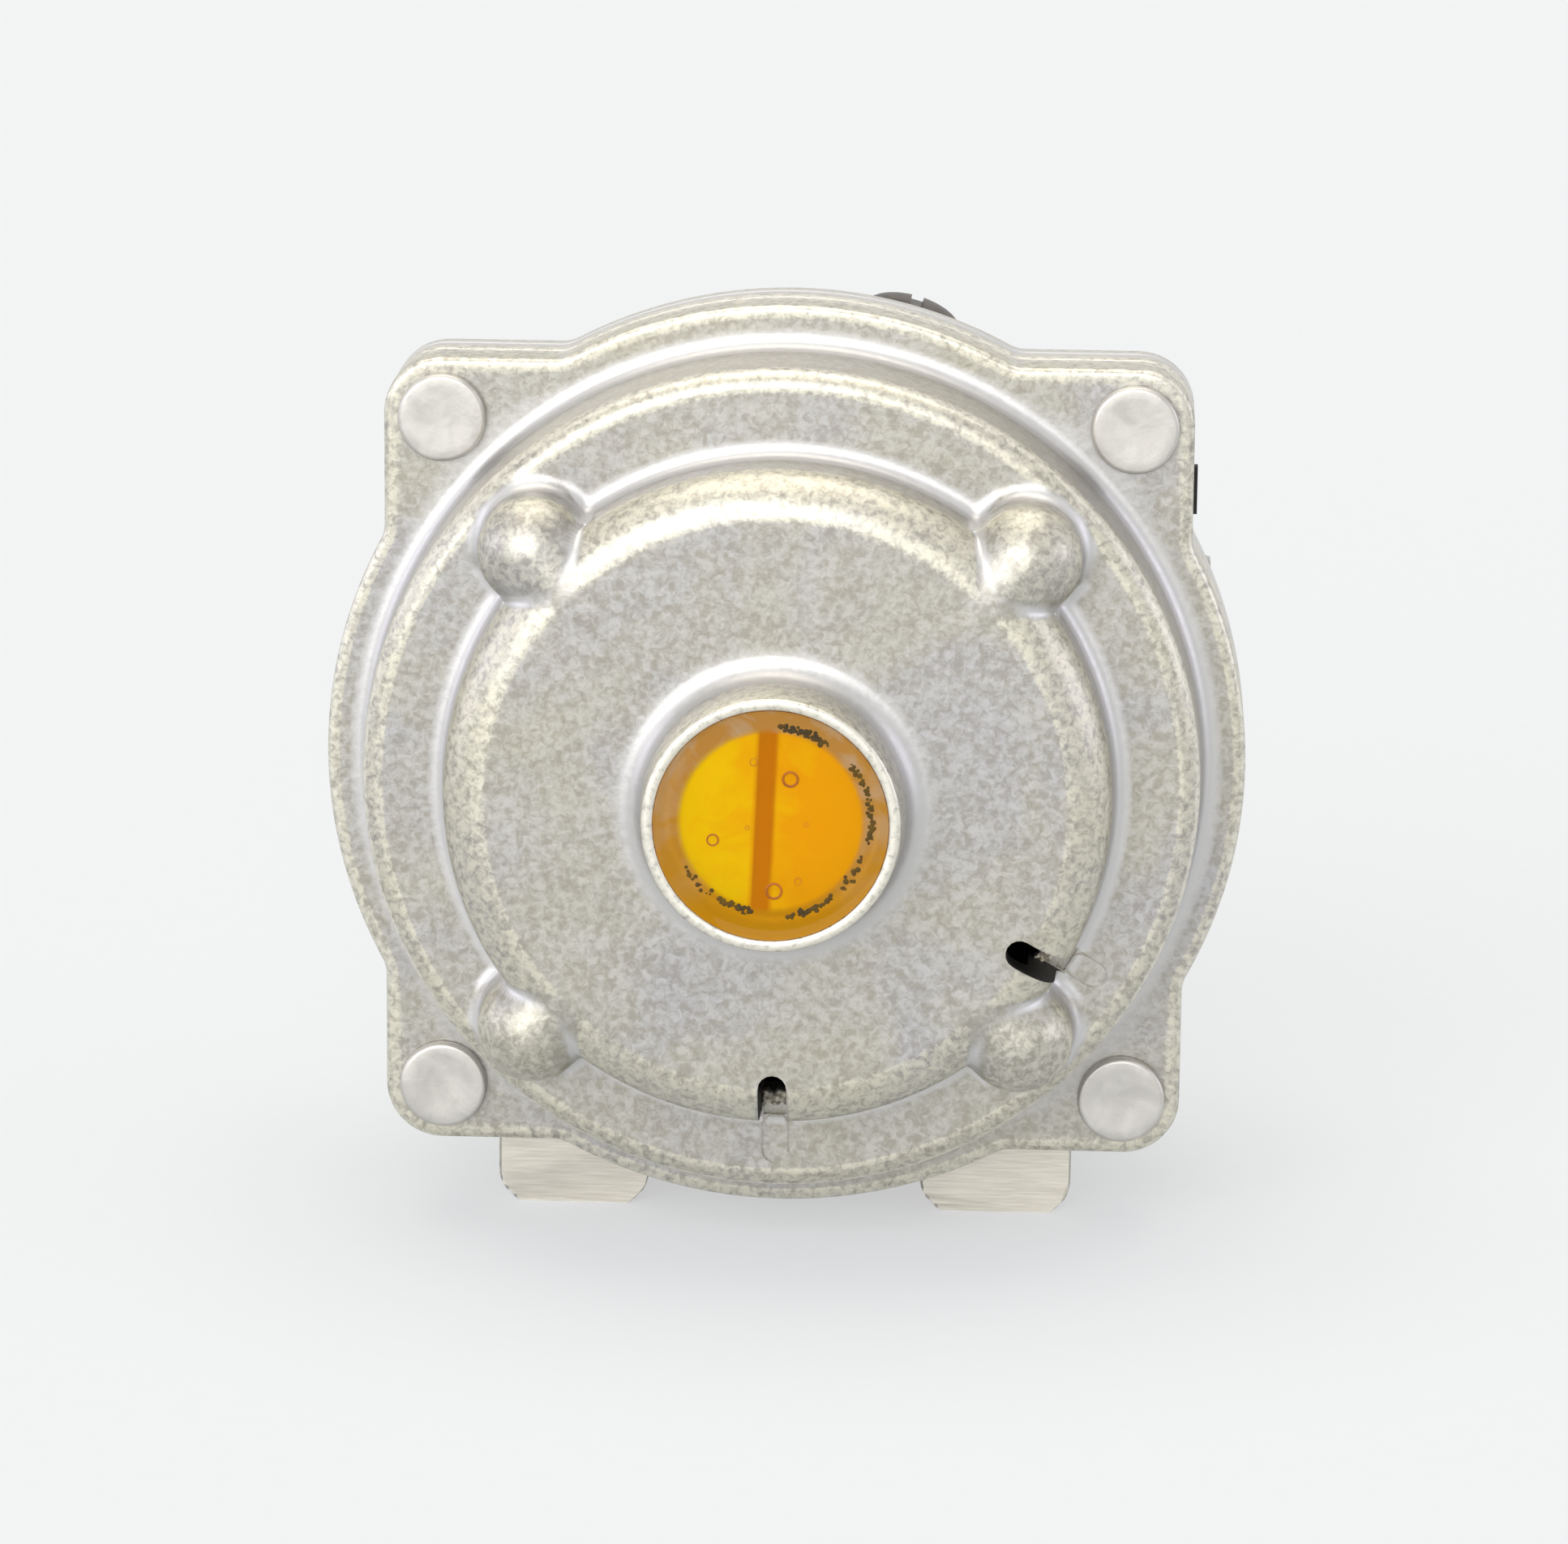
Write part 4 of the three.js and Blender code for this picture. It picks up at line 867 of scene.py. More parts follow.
def slot_outline(start, end, width, degrees, both_ends=False, steps=8):
    """A slot along a radius, with a round inner end and a square or round outer one."""
    half = width / 2
    turns = np.linspace(0, math.pi, steps + 1)
    arc = [(start + half - half * math.sin(a), half * math.cos(a)) for a in turns]
    if both_ends:
        arc += [(end - half + half * math.sin(a), -half * math.cos(a)) for a in turns]
    else:
        arc += [(end, -half), (end, half)]
    angle = math.radians(degrees)
    cos, sin = math.cos(angle), math.sin(angle)
    return [(a * cos - b * sin, a * sin + b * cos) for a, b in arc]


def rivet_holes(start, end):
    """Tools for the four rivet holes, between two depths."""
    return [rod(RIVET_HOLE, start, end, "y", (x * RIVET_OFFSET, 0, z * RIVET_OFFSET))
            for x, z in RIVET_PLACES.values()]


def at_test_port(name, points, faces, material=None):
    """A piece drawn about the upright z axis, leant and moved onto the test port's axis."""
    lean = Matrix.Rotation(math.radians(90 - TEST_PORT_TURN), 3, "Y")
    return new_piece(name, points @ np.array(lean).T + [0, TEST_PORT_DEPTH, 0], faces, material)


# Fields: distances from a surface in local millimetres, below zero inside

def rod_field(across, along, radius, start, end, ease):
    """A rod with rounded ends; across is the distance from its axis and along the place on it."""
    out = across - (radius - ease)
    over = np.abs(along - (start + end) / 2) - ((end - start) / 2 - ease)
    outside = np.sqrt(np.maximum(out, 0) ** 2 + np.maximum(over, 0) ** 2)
    return np.minimum(np.maximum(out, over), 0) + outside - ease


def block_field(x, y, z, limits, ease):
    """A box between limits, with rounded edges."""
    gaps = [np.abs(v - (low + high) / 2) - ((high - low) / 2 - ease)
            for v, (low, high) in zip((x, y, z), limits)]
    outside = np.sqrt(sum(np.maximum(gap, 0) ** 2 for gap in gaps))
    return np.minimum(np.maximum(np.maximum(gaps[0], gaps[1]), gaps[2]), 0) + outside - ease


def body_field(x, y, z):
    """The body's outside behind its flange, run together with cast fillets: bowl, port tube, valve block,
    legs, ribs, foot pads and test boss."""
    slab_inset, slab_middle, slab_half = 0.9, 6.75, 1.5
    bowl_radius, bowl_end, tube_end = 29.0, 16.4, 30.4
    leg_radius, rib_half, pad_half, pad_bevel = 4.4, 1.5, 5.45, 1.3
    boss_radius, boss_end = 4.1, 29.9
    radius = np.sqrt(x ** 2 + z ** 2)
    inside_outline = radius - outline_radius(np.arctan2(z, x)) + slab_inset
    slab = np.maximum(inside_outline, np.abs(y - slab_middle) - slab_half)
    bowl = rod_field(radius, y, bowl_radius, 5.6, bowl_end, 2.4)
    tube = rod_field(np.sqrt((y - PORT_AXIS) ** 2 + z ** 2), x, PORT_RADIUS, -tube_end, tube_end, 0.9)
    valve_block = block_field(x, y, z, [(-15.1, 6.4), (12.0, 32.2), (-8.1, 8.1)], 2.2)
    whole = soft_least(slab, bowl, 2.2)
    whole = soft_least(whole, tube, 3.0)
    whole = soft_least(whole, valve_block, 2.4)
    for side in (-1, 1):
        beside = x - side * LEG_OFFSET
        leg = rod_field(np.sqrt(beside ** 2 + (y - PORT_AXIS) ** 2), z, leg_radius, -33.0, 0.0, 0.5)
        rib = block_field(beside, y, z, [(-rib_half, rib_half), (7.8, 20.5), (-33.0, -10.4)], 0.6)
        pad = block_field(beside, y, z, [(-pad_half, pad_half), (4.7, 29.0), (-35.6, -27.2)], 0.55)
        bevel = (np.abs(beside) - pad_half - (z + AXIS_HEIGHT) + pad_bevel) * math.sqrt(0.5)
        pad = soft_most(pad, bevel, 0.7)
        whole = soft_least(whole, soft_least(soft_least(leg, rib, 1.6), pad, 1.5), 2.2)
    along, sideways = along_and_across(x, z, math.radians(TEST_PORT_TURN))
    across = np.sqrt(sideways ** 2 + (y - TEST_PORT_DEPTH) ** 2)
    boss = rod_field(across, along, boss_radius, 22.0, boss_end, 0.3)
    return soft_least(whole, boss, 1.4)


def sampled_solid(name, field, low, high, step):
    """The closed surface of a field: one vertex in each cell it crosses, moved onto the surface."""
    axes = [np.arange(a, b + step, step) for a, b in zip(low, high)]
    value = field(*np.meshgrid(*axes, indexing="ij"))
    inside = value < 0
    cells = tuple(length - 1 for length in value.shape)
    total, number = np.zeros(cells + (3,)), np.zeros(cells)
    faces = []
    crossings = []
    for axis in range(3):
        near = [slice(None)] * 3
        far = [slice(None)] * 3
        near[axis], far[axis] = slice(0, -1), slice(1, None)
        one, two = value[tuple(near)], value[tuple(far)]
        crossed = inside[tuple(near)] != inside[tuple(far)]
        share = np.where(crossed, one / np.where(crossed, one - two, 1), 0)
        crossings.append((axis, crossed, inside[tuple(near)]))
        grid = np.stack(np.meshgrid(*[np.arange(n) for n in crossed.shape], indexing="ij"), -1).astype(float)
        grid[..., axis] += share
        others = [other for other in range(3) if other != axis]
        for shift_one in (0, 1):
            for shift_two in (0, 1):
                take = [slice(None)] * 3
                for other, shift in zip(others, (shift_one, shift_two)):
                    take[other] = slice(shift, value.shape[other] - 1 + shift)
                take = tuple(take)
                number += crossed[take]
                total += grid[take] * crossed[take][..., None]
    used = number > 0
    index = np.full(cells, -1)
    index[used] = np.arange(used.sum())
    points = total[used] / number[used][:, None] * step + np.array([axis[0] for axis in axes])
    for axis, crossed, low_inside in crossings:
        one, two = [other for other in range(3) if other != axis]
        spots = np.argwhere(crossed)
        keep = (spots[:, one] > 0) & (spots[:, two] > 0)
        keep &= (spots[:, one] < cells[one]) & (spots[:, two] < cells[two])
        spots = spots[keep]
        quad = []
        for back_one, back_two in ((1, 1), (0, 1), (0, 0), (1, 0)):
            cell = spots.copy()
            cell[:, one] -= back_one
            cell[:, two] -= back_two
            quad.append(index[tuple(cell.T)])
        quad = np.stack(quad, -1)
        flip = low_inside[tuple(spots.T)] == (axis == 1)
        quad[flip] = quad[flip][:, ::-1]
        faces.append(quad)
    faces = np.concatenate(faces)
    gap, least_slope = 0.02, 0.2
    for _ in range(3):
        here = field(*points.T)
        slope = np.stack([
            (field(*(points + gap * np.eye(3)[axis]).T) - here) / gap for axis in range(3)], -1)
        steepness = np.maximum((slope ** 2).sum(1), least_slope)
        move = slope * (here / steepness)[:, None]
        points -= np.clip(move, -step / 2, step / 2)
    return new_piece(name, points, faces.tolist())


def flange_grid(size):
    """The body's flange as one closed grid, with a shallow die-parting groove round its side."""
    angles = np.radians(np.arange(0, 360, 0.75))
    lip = BODY_FRONT - size.body_lip / MM
    groove, easing, inner = 6.4, 0.5, 25.0
    pairs = [(1.25, BODY_FRONT), (1.1, lip), (0.2, lip), (0.06, lip + 0.08), (0.0, lip + 0.25)]
    pairs += [(0.0, groove - 0.2), (0.16, groove - 0.08), (0.16, groove + 0.08), (0.0, groove + 0.2)]
    pairs += [(easing - easing * math.cos(a), BODY_REAR - easing + easing * math.sin(a))
              for a in np.linspace(0, math.pi / 2, 5)]
    edge = outline_rows(angles, pairs)
    back = edge[0][:, -1:] + (inner - edge[0][:, -1:]) * np.linspace(0.1, 0.9, 9)
    return grid_round(
        angles, circle_rows(angles, [(inner, BODY_FRONT)]), edge, (back, np.full_like(back, BODY_REAR)),
        circle_rows(angles, [(inner, BODY_REAR)]))


# Geometry Nodes trees

def new_tree(name, inputs):
    """A Geometry Nodes tree with these named inputs, each (socket type, default), and one geometry output."""
    tree = bpy.data.node_groups.new(name, "GeometryNodeTree")
    tree.interface.new_socket(name="Geometry", in_out="INPUT", socket_type="NodeSocketGeometry")
    tree.interface.new_socket(name="Geometry", in_out="OUTPUT", socket_type="NodeSocketGeometry")
    for label, (kind, value) in inputs.items():
        socket = tree.interface.new_socket(name=label, in_out="INPUT", socket_type=kind)
        if value is not None:
            socket.default_value = value
    return tree, add(tree, "NodeGroupInput").outputs, add(tree, "NodeGroupOutput")


def finished(tree, geometry, group, sink):
    """Ends a tree in Realize Instances and Set Material."""
    real = add(tree, "GeometryNodeRealizeInstances", {"Geometry": geometry})
    shade = add(tree, "GeometryNodeSetShadeSmooth", {"Geometry": real.outputs[0]})
    painted = add(tree, "GeometryNodeSetMaterial", {
        "Geometry": shade.outputs[0], "Material": group["Material"]})
    tree.links.new(painted.outputs[0], sink.inputs["Geometry"])


def grown(name, tree, values, points=((0, 0, 0),), faces=(), sizes=None):
    """The plain mesh that a tree makes of a base mesh in metres, its inputs set before it is evaluated."""
    mesh = bpy.data.meshes.new(name)
    mesh.from_pydata([tuple(p) for p in points], [], [tuple(f) for f in faces])
    if sizes:
        mesh.attributes.new("size", "FLOAT", "POINT").data.foreach_set("value", sizes)
    piece = bpy.data.objects.new(name, mesh)
    bpy.context.scene.collection.objects.link(piece)
    step = piece.modifiers.new(name, "NODES")
    step.node_group = tree
    for item in tree.interface.items_tree:
        if item.in_out == "INPUT" and item.name in values:
            step[item.identifier] = values[item.name]
    return baked(piece)


def wire_helix_tree():
    """A wire wound about the z axis, its end turns drawn closer together by the Closing input. It serves as a
    spring and as a screw thread's rounded ridge."""
    tree, group, sink = new_tree("wire_helix", {
        "Turns": ("NodeSocketFloat", 8.0), "Radius": ("NodeSocketFloat", 5 * MM),
        "Length": ("NodeSocketFloat", 16 * MM), "Closing": ("NodeSocketFloat", 0.0),
        "Wire Radius": ("NodeSocketFloat", 0.45 * MM), "Steps": ("NodeSocketInt", 300),
        "Sides": ("NodeSocketInt", 12), "Material": ("NodeSocketMaterial", None)})
    line = add(tree, "GeometryNodeCurvePrimitiveLine")
    path = add(tree, "GeometryNodeResampleCurve", {"Curve": line.outputs[0], "Count": group["Steps"]})
    share = add(tree, "GeometryNodeSplineParameter").outputs["Factor"]
    turn = add(tree, "ShaderNodeMath", {0: share, 1: TURN}, operation="MULTIPLY")
    angle = add(tree, "ShaderNodeMath", {0: turn.outputs[0], 1: group["Turns"]}, operation="MULTIPLY")
    cos = add(tree, "ShaderNodeMath", {0: angle.outputs[0]}, operation="COSINE")
    sin = add(tree, "ShaderNodeMath", {0: angle.outputs[0]}, operation="SINE")
    x = add(tree, "ShaderNodeMath", {0: cos.outputs[0], 1: group["Radius"]}, operation="MULTIPLY")
    y = add(tree, "ShaderNodeMath", {0: sin.outputs[0], 1: group["Radius"]}, operation="MULTIPLY")
    swing = add(tree, "ShaderNodeMath", {0: turn.outputs[0]}, operation="SINE")
    pull = add(tree, "ShaderNodeMath", {0: group["Closing"], 1: -1 / TURN}, operation="MULTIPLY")
    along = add(tree, "ShaderNodeMath", {
        0: swing.outputs[0], 1: pull.outputs[0], 2: share}, operation="MULTIPLY_ADD")
    z = add(tree, "ShaderNodeMath", {0: along.outputs[0], 1: group["Length"]}, operation="MULTIPLY")
    spot = add(tree, "ShaderNodeCombineXYZ", {0: x.outputs[0], 1: y.outputs[0], 2: z.outputs[0]})
    wound = add(tree, "GeometryNodeSetPosition", {"Geometry": path.outputs[0], "Position": spot.outputs[0]})
    level = add(tree, "GeometryNodeSetCurveNormal", {"Curve": wound.outputs[0]}, mode="Z_UP")
    section = add(tree, "GeometryNodeCurvePrimitiveCircle", {
        "Resolution": group["Sides"], "Radius": group["Wire Radius"]})
    wire = add(tree, "GeometryNodeCurveToMesh", {
        "Curve": level.outputs[0], "Profile Curve": section.outputs[0], "Fill Caps": True})
    finished(tree, wire.outputs[0], group, sink)
    return tree


def scatter_tree():
    """A small closed shape copied onto every point of the base mesh, at random sizes and turns."""
    tree, group, sink = new_tree("scattered_grains", {
        "Size": ("NodeSocketFloat", 0.2 * MM), "Spread": ("NodeSocketFloat", 0.5),
        "Detail": ("NodeSocketInt", 2), "Flatness": ("NodeSocketFloat", 1.0),
        "Seed": ("NodeSocketInt", 3), "Material": ("NodeSocketMaterial", None)})
    grain = add(tree, "GeometryNodeMeshIcoSphere", {"Radius": 1.0, "Subdivisions": group["Detail"]})
    least = add(tree, "ShaderNodeMath", {0: 1.0, 1: group["Spread"]}, operation="SUBTRACT")
    share = add(tree, "FunctionNodeRandomValue", {
        2: least.outputs[0], 3: 1.0, "Seed": group["Seed"]}, data_type="FLOAT")
    across = add(tree, "ShaderNodeMath", {0: share.outputs[1], 1: group["Size"]}, operation="MULTIPLY")
    thin = add(tree, "ShaderNodeMath", {0: across.outputs[0], 1: group["Flatness"]}, operation="MULTIPLY")
    scale = add(tree, "ShaderNodeCombineXYZ", {
        0: across.outputs[0], 1: thin.outputs[0], 2: across.outputs[0]})
    spin = add(tree, "FunctionNodeRandomValue", {
        2: 0.0, 3: TURN, "Seed": group["Seed"]}, data_type="FLOAT")
    turn = add(tree, "ShaderNodeCombineXYZ", {1: spin.outputs[1]})
    placed = add(tree, "GeometryNodeInstanceOnPoints", {
        "Points": group["Geometry"], "Instance": grain.outputs[0],
        "Rotation": turn.outputs[0], "Scale": scale.outputs[0]})
    finished(tree, placed.outputs[0], group, sink)
    return tree


def drills_tree():
    """A rod along the x axis on every point of the base mesh, to cut a pattern of holes."""
    tree, group, sink = new_tree("drilled_pattern", {
        "Radius": ("NodeSocketFloat", 0.55 * MM), "Length": ("NodeSocketFloat", 2 * MM),
        "Sides": ("NodeSocketInt", 24), "Material": ("NodeSocketMaterial", None)})
    drill = add(tree, "GeometryNodeMeshCylinder", {
        "Vertices": group["Sides"], "Radius": group["Radius"], "Depth": group["Length"]})
    placed = add(tree, "GeometryNodeInstanceOnPoints", {
        "Points": group["Geometry"], "Instance": drill.outputs[0], "Rotation": (0, math.pi / 2, 0)})
    finished(tree, placed.outputs[0], group, sink)
    return tree


def bubble_rims_tree():
    """A ring in the upright plane on every point of the base mesh, as wide as the point's size attribute."""
    tree, group, sink = new_tree("bubble_rims", {
        "Wall": ("NodeSocketFloat", 0.2), "Material": ("NodeSocketMaterial", None)})
    circle = add(tree, "GeometryNodeCurvePrimitiveCircle", {"Resolution": 24, "Radius": 1.0})
    upright = add(tree, "GeometryNodeTransform", {
        "Geometry": circle.outputs[0], "Rotation": (math.pi / 2, 0, 0)})
    section = add(tree, "GeometryNodeCurvePrimitiveCircle", {"Resolution": 8, "Radius": group["Wall"]})
    ring = add(tree, "GeometryNodeCurveToMesh", {
        "Curve": upright.outputs[0], "Profile Curve": section.outputs[0]})
    size = add(tree, "GeometryNodeInputNamedAttribute", {"Name": "size"}, data_type="FLOAT")
    placed = add(tree, "GeometryNodeInstanceOnPoints", {
        "Points": group["Geometry"], "Instance": ring.outputs[0], "Scale": size.outputs[0]})
    finished(tree, placed.outputs[0], group, sink)
    return tree


def corner_pattern_tree():
    """The base mesh, drawn at the centre, repeated at the four corners of an upright square."""
    tree, group, sink = new_tree("four_corners", {
        "Spacing": ("NodeSocketFloat", 48.5 * MM), "Material": ("NodeSocketMaterial", None)})
    corners = add(tree, "GeometryNodeMeshGrid", {
        "Size X": group["Spacing"], "Size Y": group["Spacing"], "Vertices X": 2, "Vertices Y": 2})
    upright = add(tree, "GeometryNodeTransform", {
        "Geometry": corners.outputs[0], "Rotation": (math.pi / 2, 0, 0)})
    placed = add(tree, "GeometryNodeInstanceOnPoints", {
        "Points": upright.outputs[0], "Instance": group["Geometry"]})
    finished(tree, placed.outputs[0], group, sink)
    return tree


# Settings

def length_property(name, description, millimetres):
    """A length setting, kept in metres."""
    return bpy.props.FloatProperty(
        name=name, description=description, default=millimetres * MM, unit="LENGTH", precision=5)


def angle_property(name, description, degrees):
    """An angle setting, kept in radians."""
    return bpy.props.FloatProperty(
        name=name, description=description, default=math.radians(degrees), subtype="ANGLE")


def number_property(name, description, value):
    """A plain number setting."""
    return bpy.props.FloatProperty(name=name, description=description, default=value)


def colour_property(name, description, code):
    """A colour setting, given as an sRGB hex colour."""
    return bpy.props.FloatVectorProperty(
        name=name, description=description, default=linear(code), size=4, subtype="COLOR", min=0, max=1)


class RegulatorFinish(bpy.types.PropertyGroup):
    """Colours of the regulator's finishes."""
    skin: colour_property("Casting", "Skin of the castings", "#b9b7b1")
    green_tint: colour_property("Green tint", "Warm clouds in the castings' skin", "#bab8a9")
    lilac_tint: colour_property("Lilac tint", "Cool clouds in the castings' skin", "#b4b3b8")
    mottle_dark: colour_property("Dark mottle", "Darkest tone of the fine mottling", "#e2dfd9")
    mottle_pale: colour_property("Pale mottle", "Palest tone of the fine mottling", "#ffffff")
    worn_edge: colour_property("Worn edge", "Speckles on the rounded edges", "#dad6c2")
    # Brightest wear on the tightest edges, also used for the painted highlight line on the shelf's round edge
    rubbed_edge_and_limb_highlight: colour_property("Rubbed edge", "Brightest wear, on the tightest edges", "#e9e6da")
    # Painted highlight: the nearly white tone painted into the fillets
    fillet_highlight_tone: colour_property("Hollow", "Bright skin in the fillets", "#cccbca")
    # The feet's ground faces: paler partly from grinding and partly as painted light lifting the rim's shade
    ground_dark_with_painted_light: colour_property("Ground, dark", "Darker lines on the feet's ground faces", "#d2ccc0")
    ground_pale_with_painted_light: colour_property("Ground, pale", "Paler lines on the feet's ground faces", "#dfdace")
    rivet_dark: colour_property("Rivet, dark", "Darker tone of the rivets", "#c0bdb7")
    rivet_pale: colour_property("Rivet, pale", "Paler tone of the rivets", "#cdcac4")
    # Painted light over the screw's face: a lit left tone and a shaded right tone
    resin_painted_lit: colour_property("Resin, left", "Clear resin over the screw, left side", "#ffcf00")
    resin_painted_shaded: colour_property("Resin, right", "Clear resin over the screw, right side", "#fcae00")
    # Resin over the screw's slot, painted darker for the deeper resin and as painted shade in the slot
    resin_over_slot_deep_and_shaded: colour_property("Resin, deep", "Clear resin where it fills the screw's slot", "#e08400")
    # Ring beside the screw: duller for the longer resin path and as painted shade of the well, paler towards
    # the top
    resin_ring: colour_property("Resin, ring", "Resin beside the screw, at the top", "#dca04c")
    resin_low: colour_property("Resin, low", "Resin beside the screw, at the bottom", "#dc9a08")
    resin_haze: colour_property("Resin, haze", "Pale smudges in the ring", "#e0bd92")
    brass_pale: colour_property("Screw, pale", "Paler tone of the adjusting screw", "#fffbe0")
    brass_deep: colour_property("Screw, deep", "Deeper tone of the adjusting screw", "#fff0b8")
    # Painted shade on the floor of the screw's slot, darker than the brass
    brass_slot_painted_shade: colour_property("Screw, slot", "Tarnished floor of the screw's slot", "#bc5c10")
    rubber_dark: colour_property("Rubber", "Diaphragm and washer", "#1f1e1d")
    rubber_bloom: colour_property("Rubber bloom", "Pale bloom on the rubber", "#35322f")
    backdrop: colour_property("Backdrop", "Floor and background", "#f3f3f3")
    paper: colour_property("Paper", "Floor's own colour, which takes the lamps' warmth out", "#9b9fa2")
    paper_fibre: colour_property("Paper fibre", "Floor's faint grain", "#9da1a4")
    lamp_warm: colour_property("Lamp above", "Colour of the lamp overhead", "#fff6e6")
    lamp_cool: colour_property("Side lamps", "Colour of the side lamps", "#eceaff")
    metal_share: bpy.props.FloatProperty(
        name="Metallic", description="Share of metal in the castings' skin", default=0.8, min=0, max=1,
        subtype="FACTOR")


class CastingSize(bpy.types.PropertyGroup):
    """Sizes of the castings that the frame doesn't fix."""
    draft: angle_property("Draft", "Lean of the dome's walls", 2.2)
    lobe_blend: length_property("Lobe blend", "Smoothing where a lobe's ball meets the crown", 0.35)
    lobe_fillet: length_property("Lobe fillet", "Fillet in the corner between lobe and crown", 0.6)
    cover_lip: length_property("Cover lip", "Lip that hides the diaphragm's edge, cover side", 0.45)
    body_lip: length_property("Body lip", "Lip that hides the diaphragm's edge, body side", 0.3)
    witness_depth: length_property("Witness depth", "Depth of the slot tool's witness marks", 0.12)


class StudioSettings(bpy.types.PropertyGroup):
    """Light and camera."""
    elevation: angle_property("Elevation", "Camera's height above the horizon", 13.5)
    azimuth: angle_property("Azimuth", "Camera's turn round the object", 2.75)
    roll: angle_property("Roll", "Camera's lean to the right", 0.56)
    distance: length_property("Distance", "From the camera to the middle of the cover", 479)
    lens: number_property("Lens", "Focal length in millimetres on a 36 mm wide sensor", 155.41)
    sky: number_property("Sky", "Strength of the even light all round", 0.55)
    floor_glow: number_property("Floor glow", "Even share of the floor's tone, seen by the camera", 0.55)
    key_power: number_property("Lamp above", "Strength of the lamp overhead", 1.2)
    front_power: number_property("Lamp in front", "Strength of the lamp in front", 2.1)
    side_power: number_property("Side lamps", "Strength of each side lamp", 0.55)


# Name, dark tone, pale tone, roughness, size of the grain in millimetres, share of metal. Real tool marks and
# grit are finer than the grain given here, which is as coarse as it needs to be to show.
PLAIN_FINISHES = {
    # Brass turned from bar: yellow and bright, with fine tool marks
    "brass": ("turned_brass", "#b98f45", "#d9b060", 0.3),
    # Zinc plate on pressed steel: cool grey and even
    "steel": ("zinc_plated_steel", "#9a9ca0", "#b9bbbe", 0.32),
    # Drawn spring wire: grey, smooth and a little glossy
    "spring": ("music_wire", "#8d8d8d", "#b4b3b0", 0.28),
    # Phosphate coating under oil: dark brown grey, soft shine
    "dark": ("phosphated_steel", "#4d4945", "#6d6660", 0.42),
    # Faces and bores cut after casting: paler and smoother than the skin
    "machined": ("machined_aluminium", "#b4b3af", "#cfcdc7", 0.3, 0.4),
    # Rubber pressed in a mould: black, satin, no cloth
    "pad": ("moulded_nitrile_rubber", "#1b1a19", "#2b2927", 0.75, 0.5, 0.0),
    # Thin metal torn off at trimming: crumbly, half dull and half bright, both tones painted paler as painted
    # light that lifts the shade inside the breather slot
    "flash": ("torn_flash_with_painted_light", "#8f8c82", "#ece4d0", 0.55, 0.35, 0.5),
    # Painted shade: the cast skin inside the spring chamber and on the breather slots' walls, painted nearly
    # black
    "inside": ("casting_in_painted_shade", "#1d1c1a", "#33312d", 0.6, 0.5, 0.3),
    # Dried crumbs of sealant: dark olive brown, matt
    "fleck": ("dried_thread_sealant", "#3a2c08", "#6b5014", 0.9, 0.5, 0.0),
    # A bubble's rim bends the light away: a darker amber line
    "bubble": ("bubble_rim_in_resin", "#a05400", "#b86800", 0.5, 0.5, 0.0),
}
MAKERS = {
    "cast": cast_aluminium, "ground": ground_aluminium, "rivet": upset_aluminium, "resin": amber_resin,
    "screw": screw_brass, "rubber": nitrile_rubber,
}
MATERIALS = {}


def finish_of(name):
    """The scene's material of this name, made once."""
    if name not in MATERIALS:
        if name in PLAIN_FINISHES:
            MATERIALS[name] = plain_finish(*PLAIN_FINISHES[name])
        else:
            MATERIALS[name] = MAKERS[name](bpy.context.scene.regulator_finish)
    return MATERIALS[name]


def placed(piece, body, slot, *nodes):
    """Rides a finished piece on its body and hides the CAD nodes it stands for. The slot argument is not
    used.
    """
    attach(piece, body)
    if nodes:
        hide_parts(*nodes)
    return piece


# Operators

class REGULATOR_OT_cover(bpy.types.Operator):
    """Casts the cover: boss, crown with four lobes, shelf, flange, two breather slots"""
    bl_idname = "regulator.cover"
    bl_label = "Cover casting"

    def execute(self, context):
        size = context.scene.regulator_castings
        piece = new_piece("cover_casting", *ring_grid(cover_grid(size)), finish_of("cast"))
        bend_attributes(piece)
        # Painted highlight: a bright line on the shelf's round edge stands for the floor's reflection
        painted_limb_highlight(piece)
        deep = size.witness_depth / MM
        before, behind = -16.0, -9.0
        tools = []
        for degrees, start, reach in SLOTS:
            groove = prism(slot_outline(23.5, reach, 1.98, degrees, both_ends=True), behind, -7.8 + deep)
            island = prism(slot_outline(23.7, reach - 0.17, 1.64, degrees, both_ends=True), -9.5, -7.0)
            tools += [
                prism(slot_outline(start, 24.3, SLOT_WIDTH, degrees), before, -7.85),
                prism(slot_outline(start, 22.0, SLOT_WIDTH, degrees), before, -5.0),
                prism(slot_outline(22.9, 23.1, 1.8, degrees, steps=1), behind, -7.3),
                shaped(groove, [island])]
        tools += rivet_holes(-2, 5)
        shaped(piece, tools)
        smooth(piece, 38)
        # Painted shade: the spring chamber and the breather slots' walls are painted nearly black
        paint(piece, "inside", painted_shade_in_cover)
        placed(piece, "housing", "cast_aluminium", "bonnet_cover")
        for number, (degrees, start, _) in enumerate(SLOTS):
            placed(slot_flash(f"slot_flash_{number + 1}", degrees, start + 3.3), "housing", "cast_aluminium")
        return {"FINISHED"}


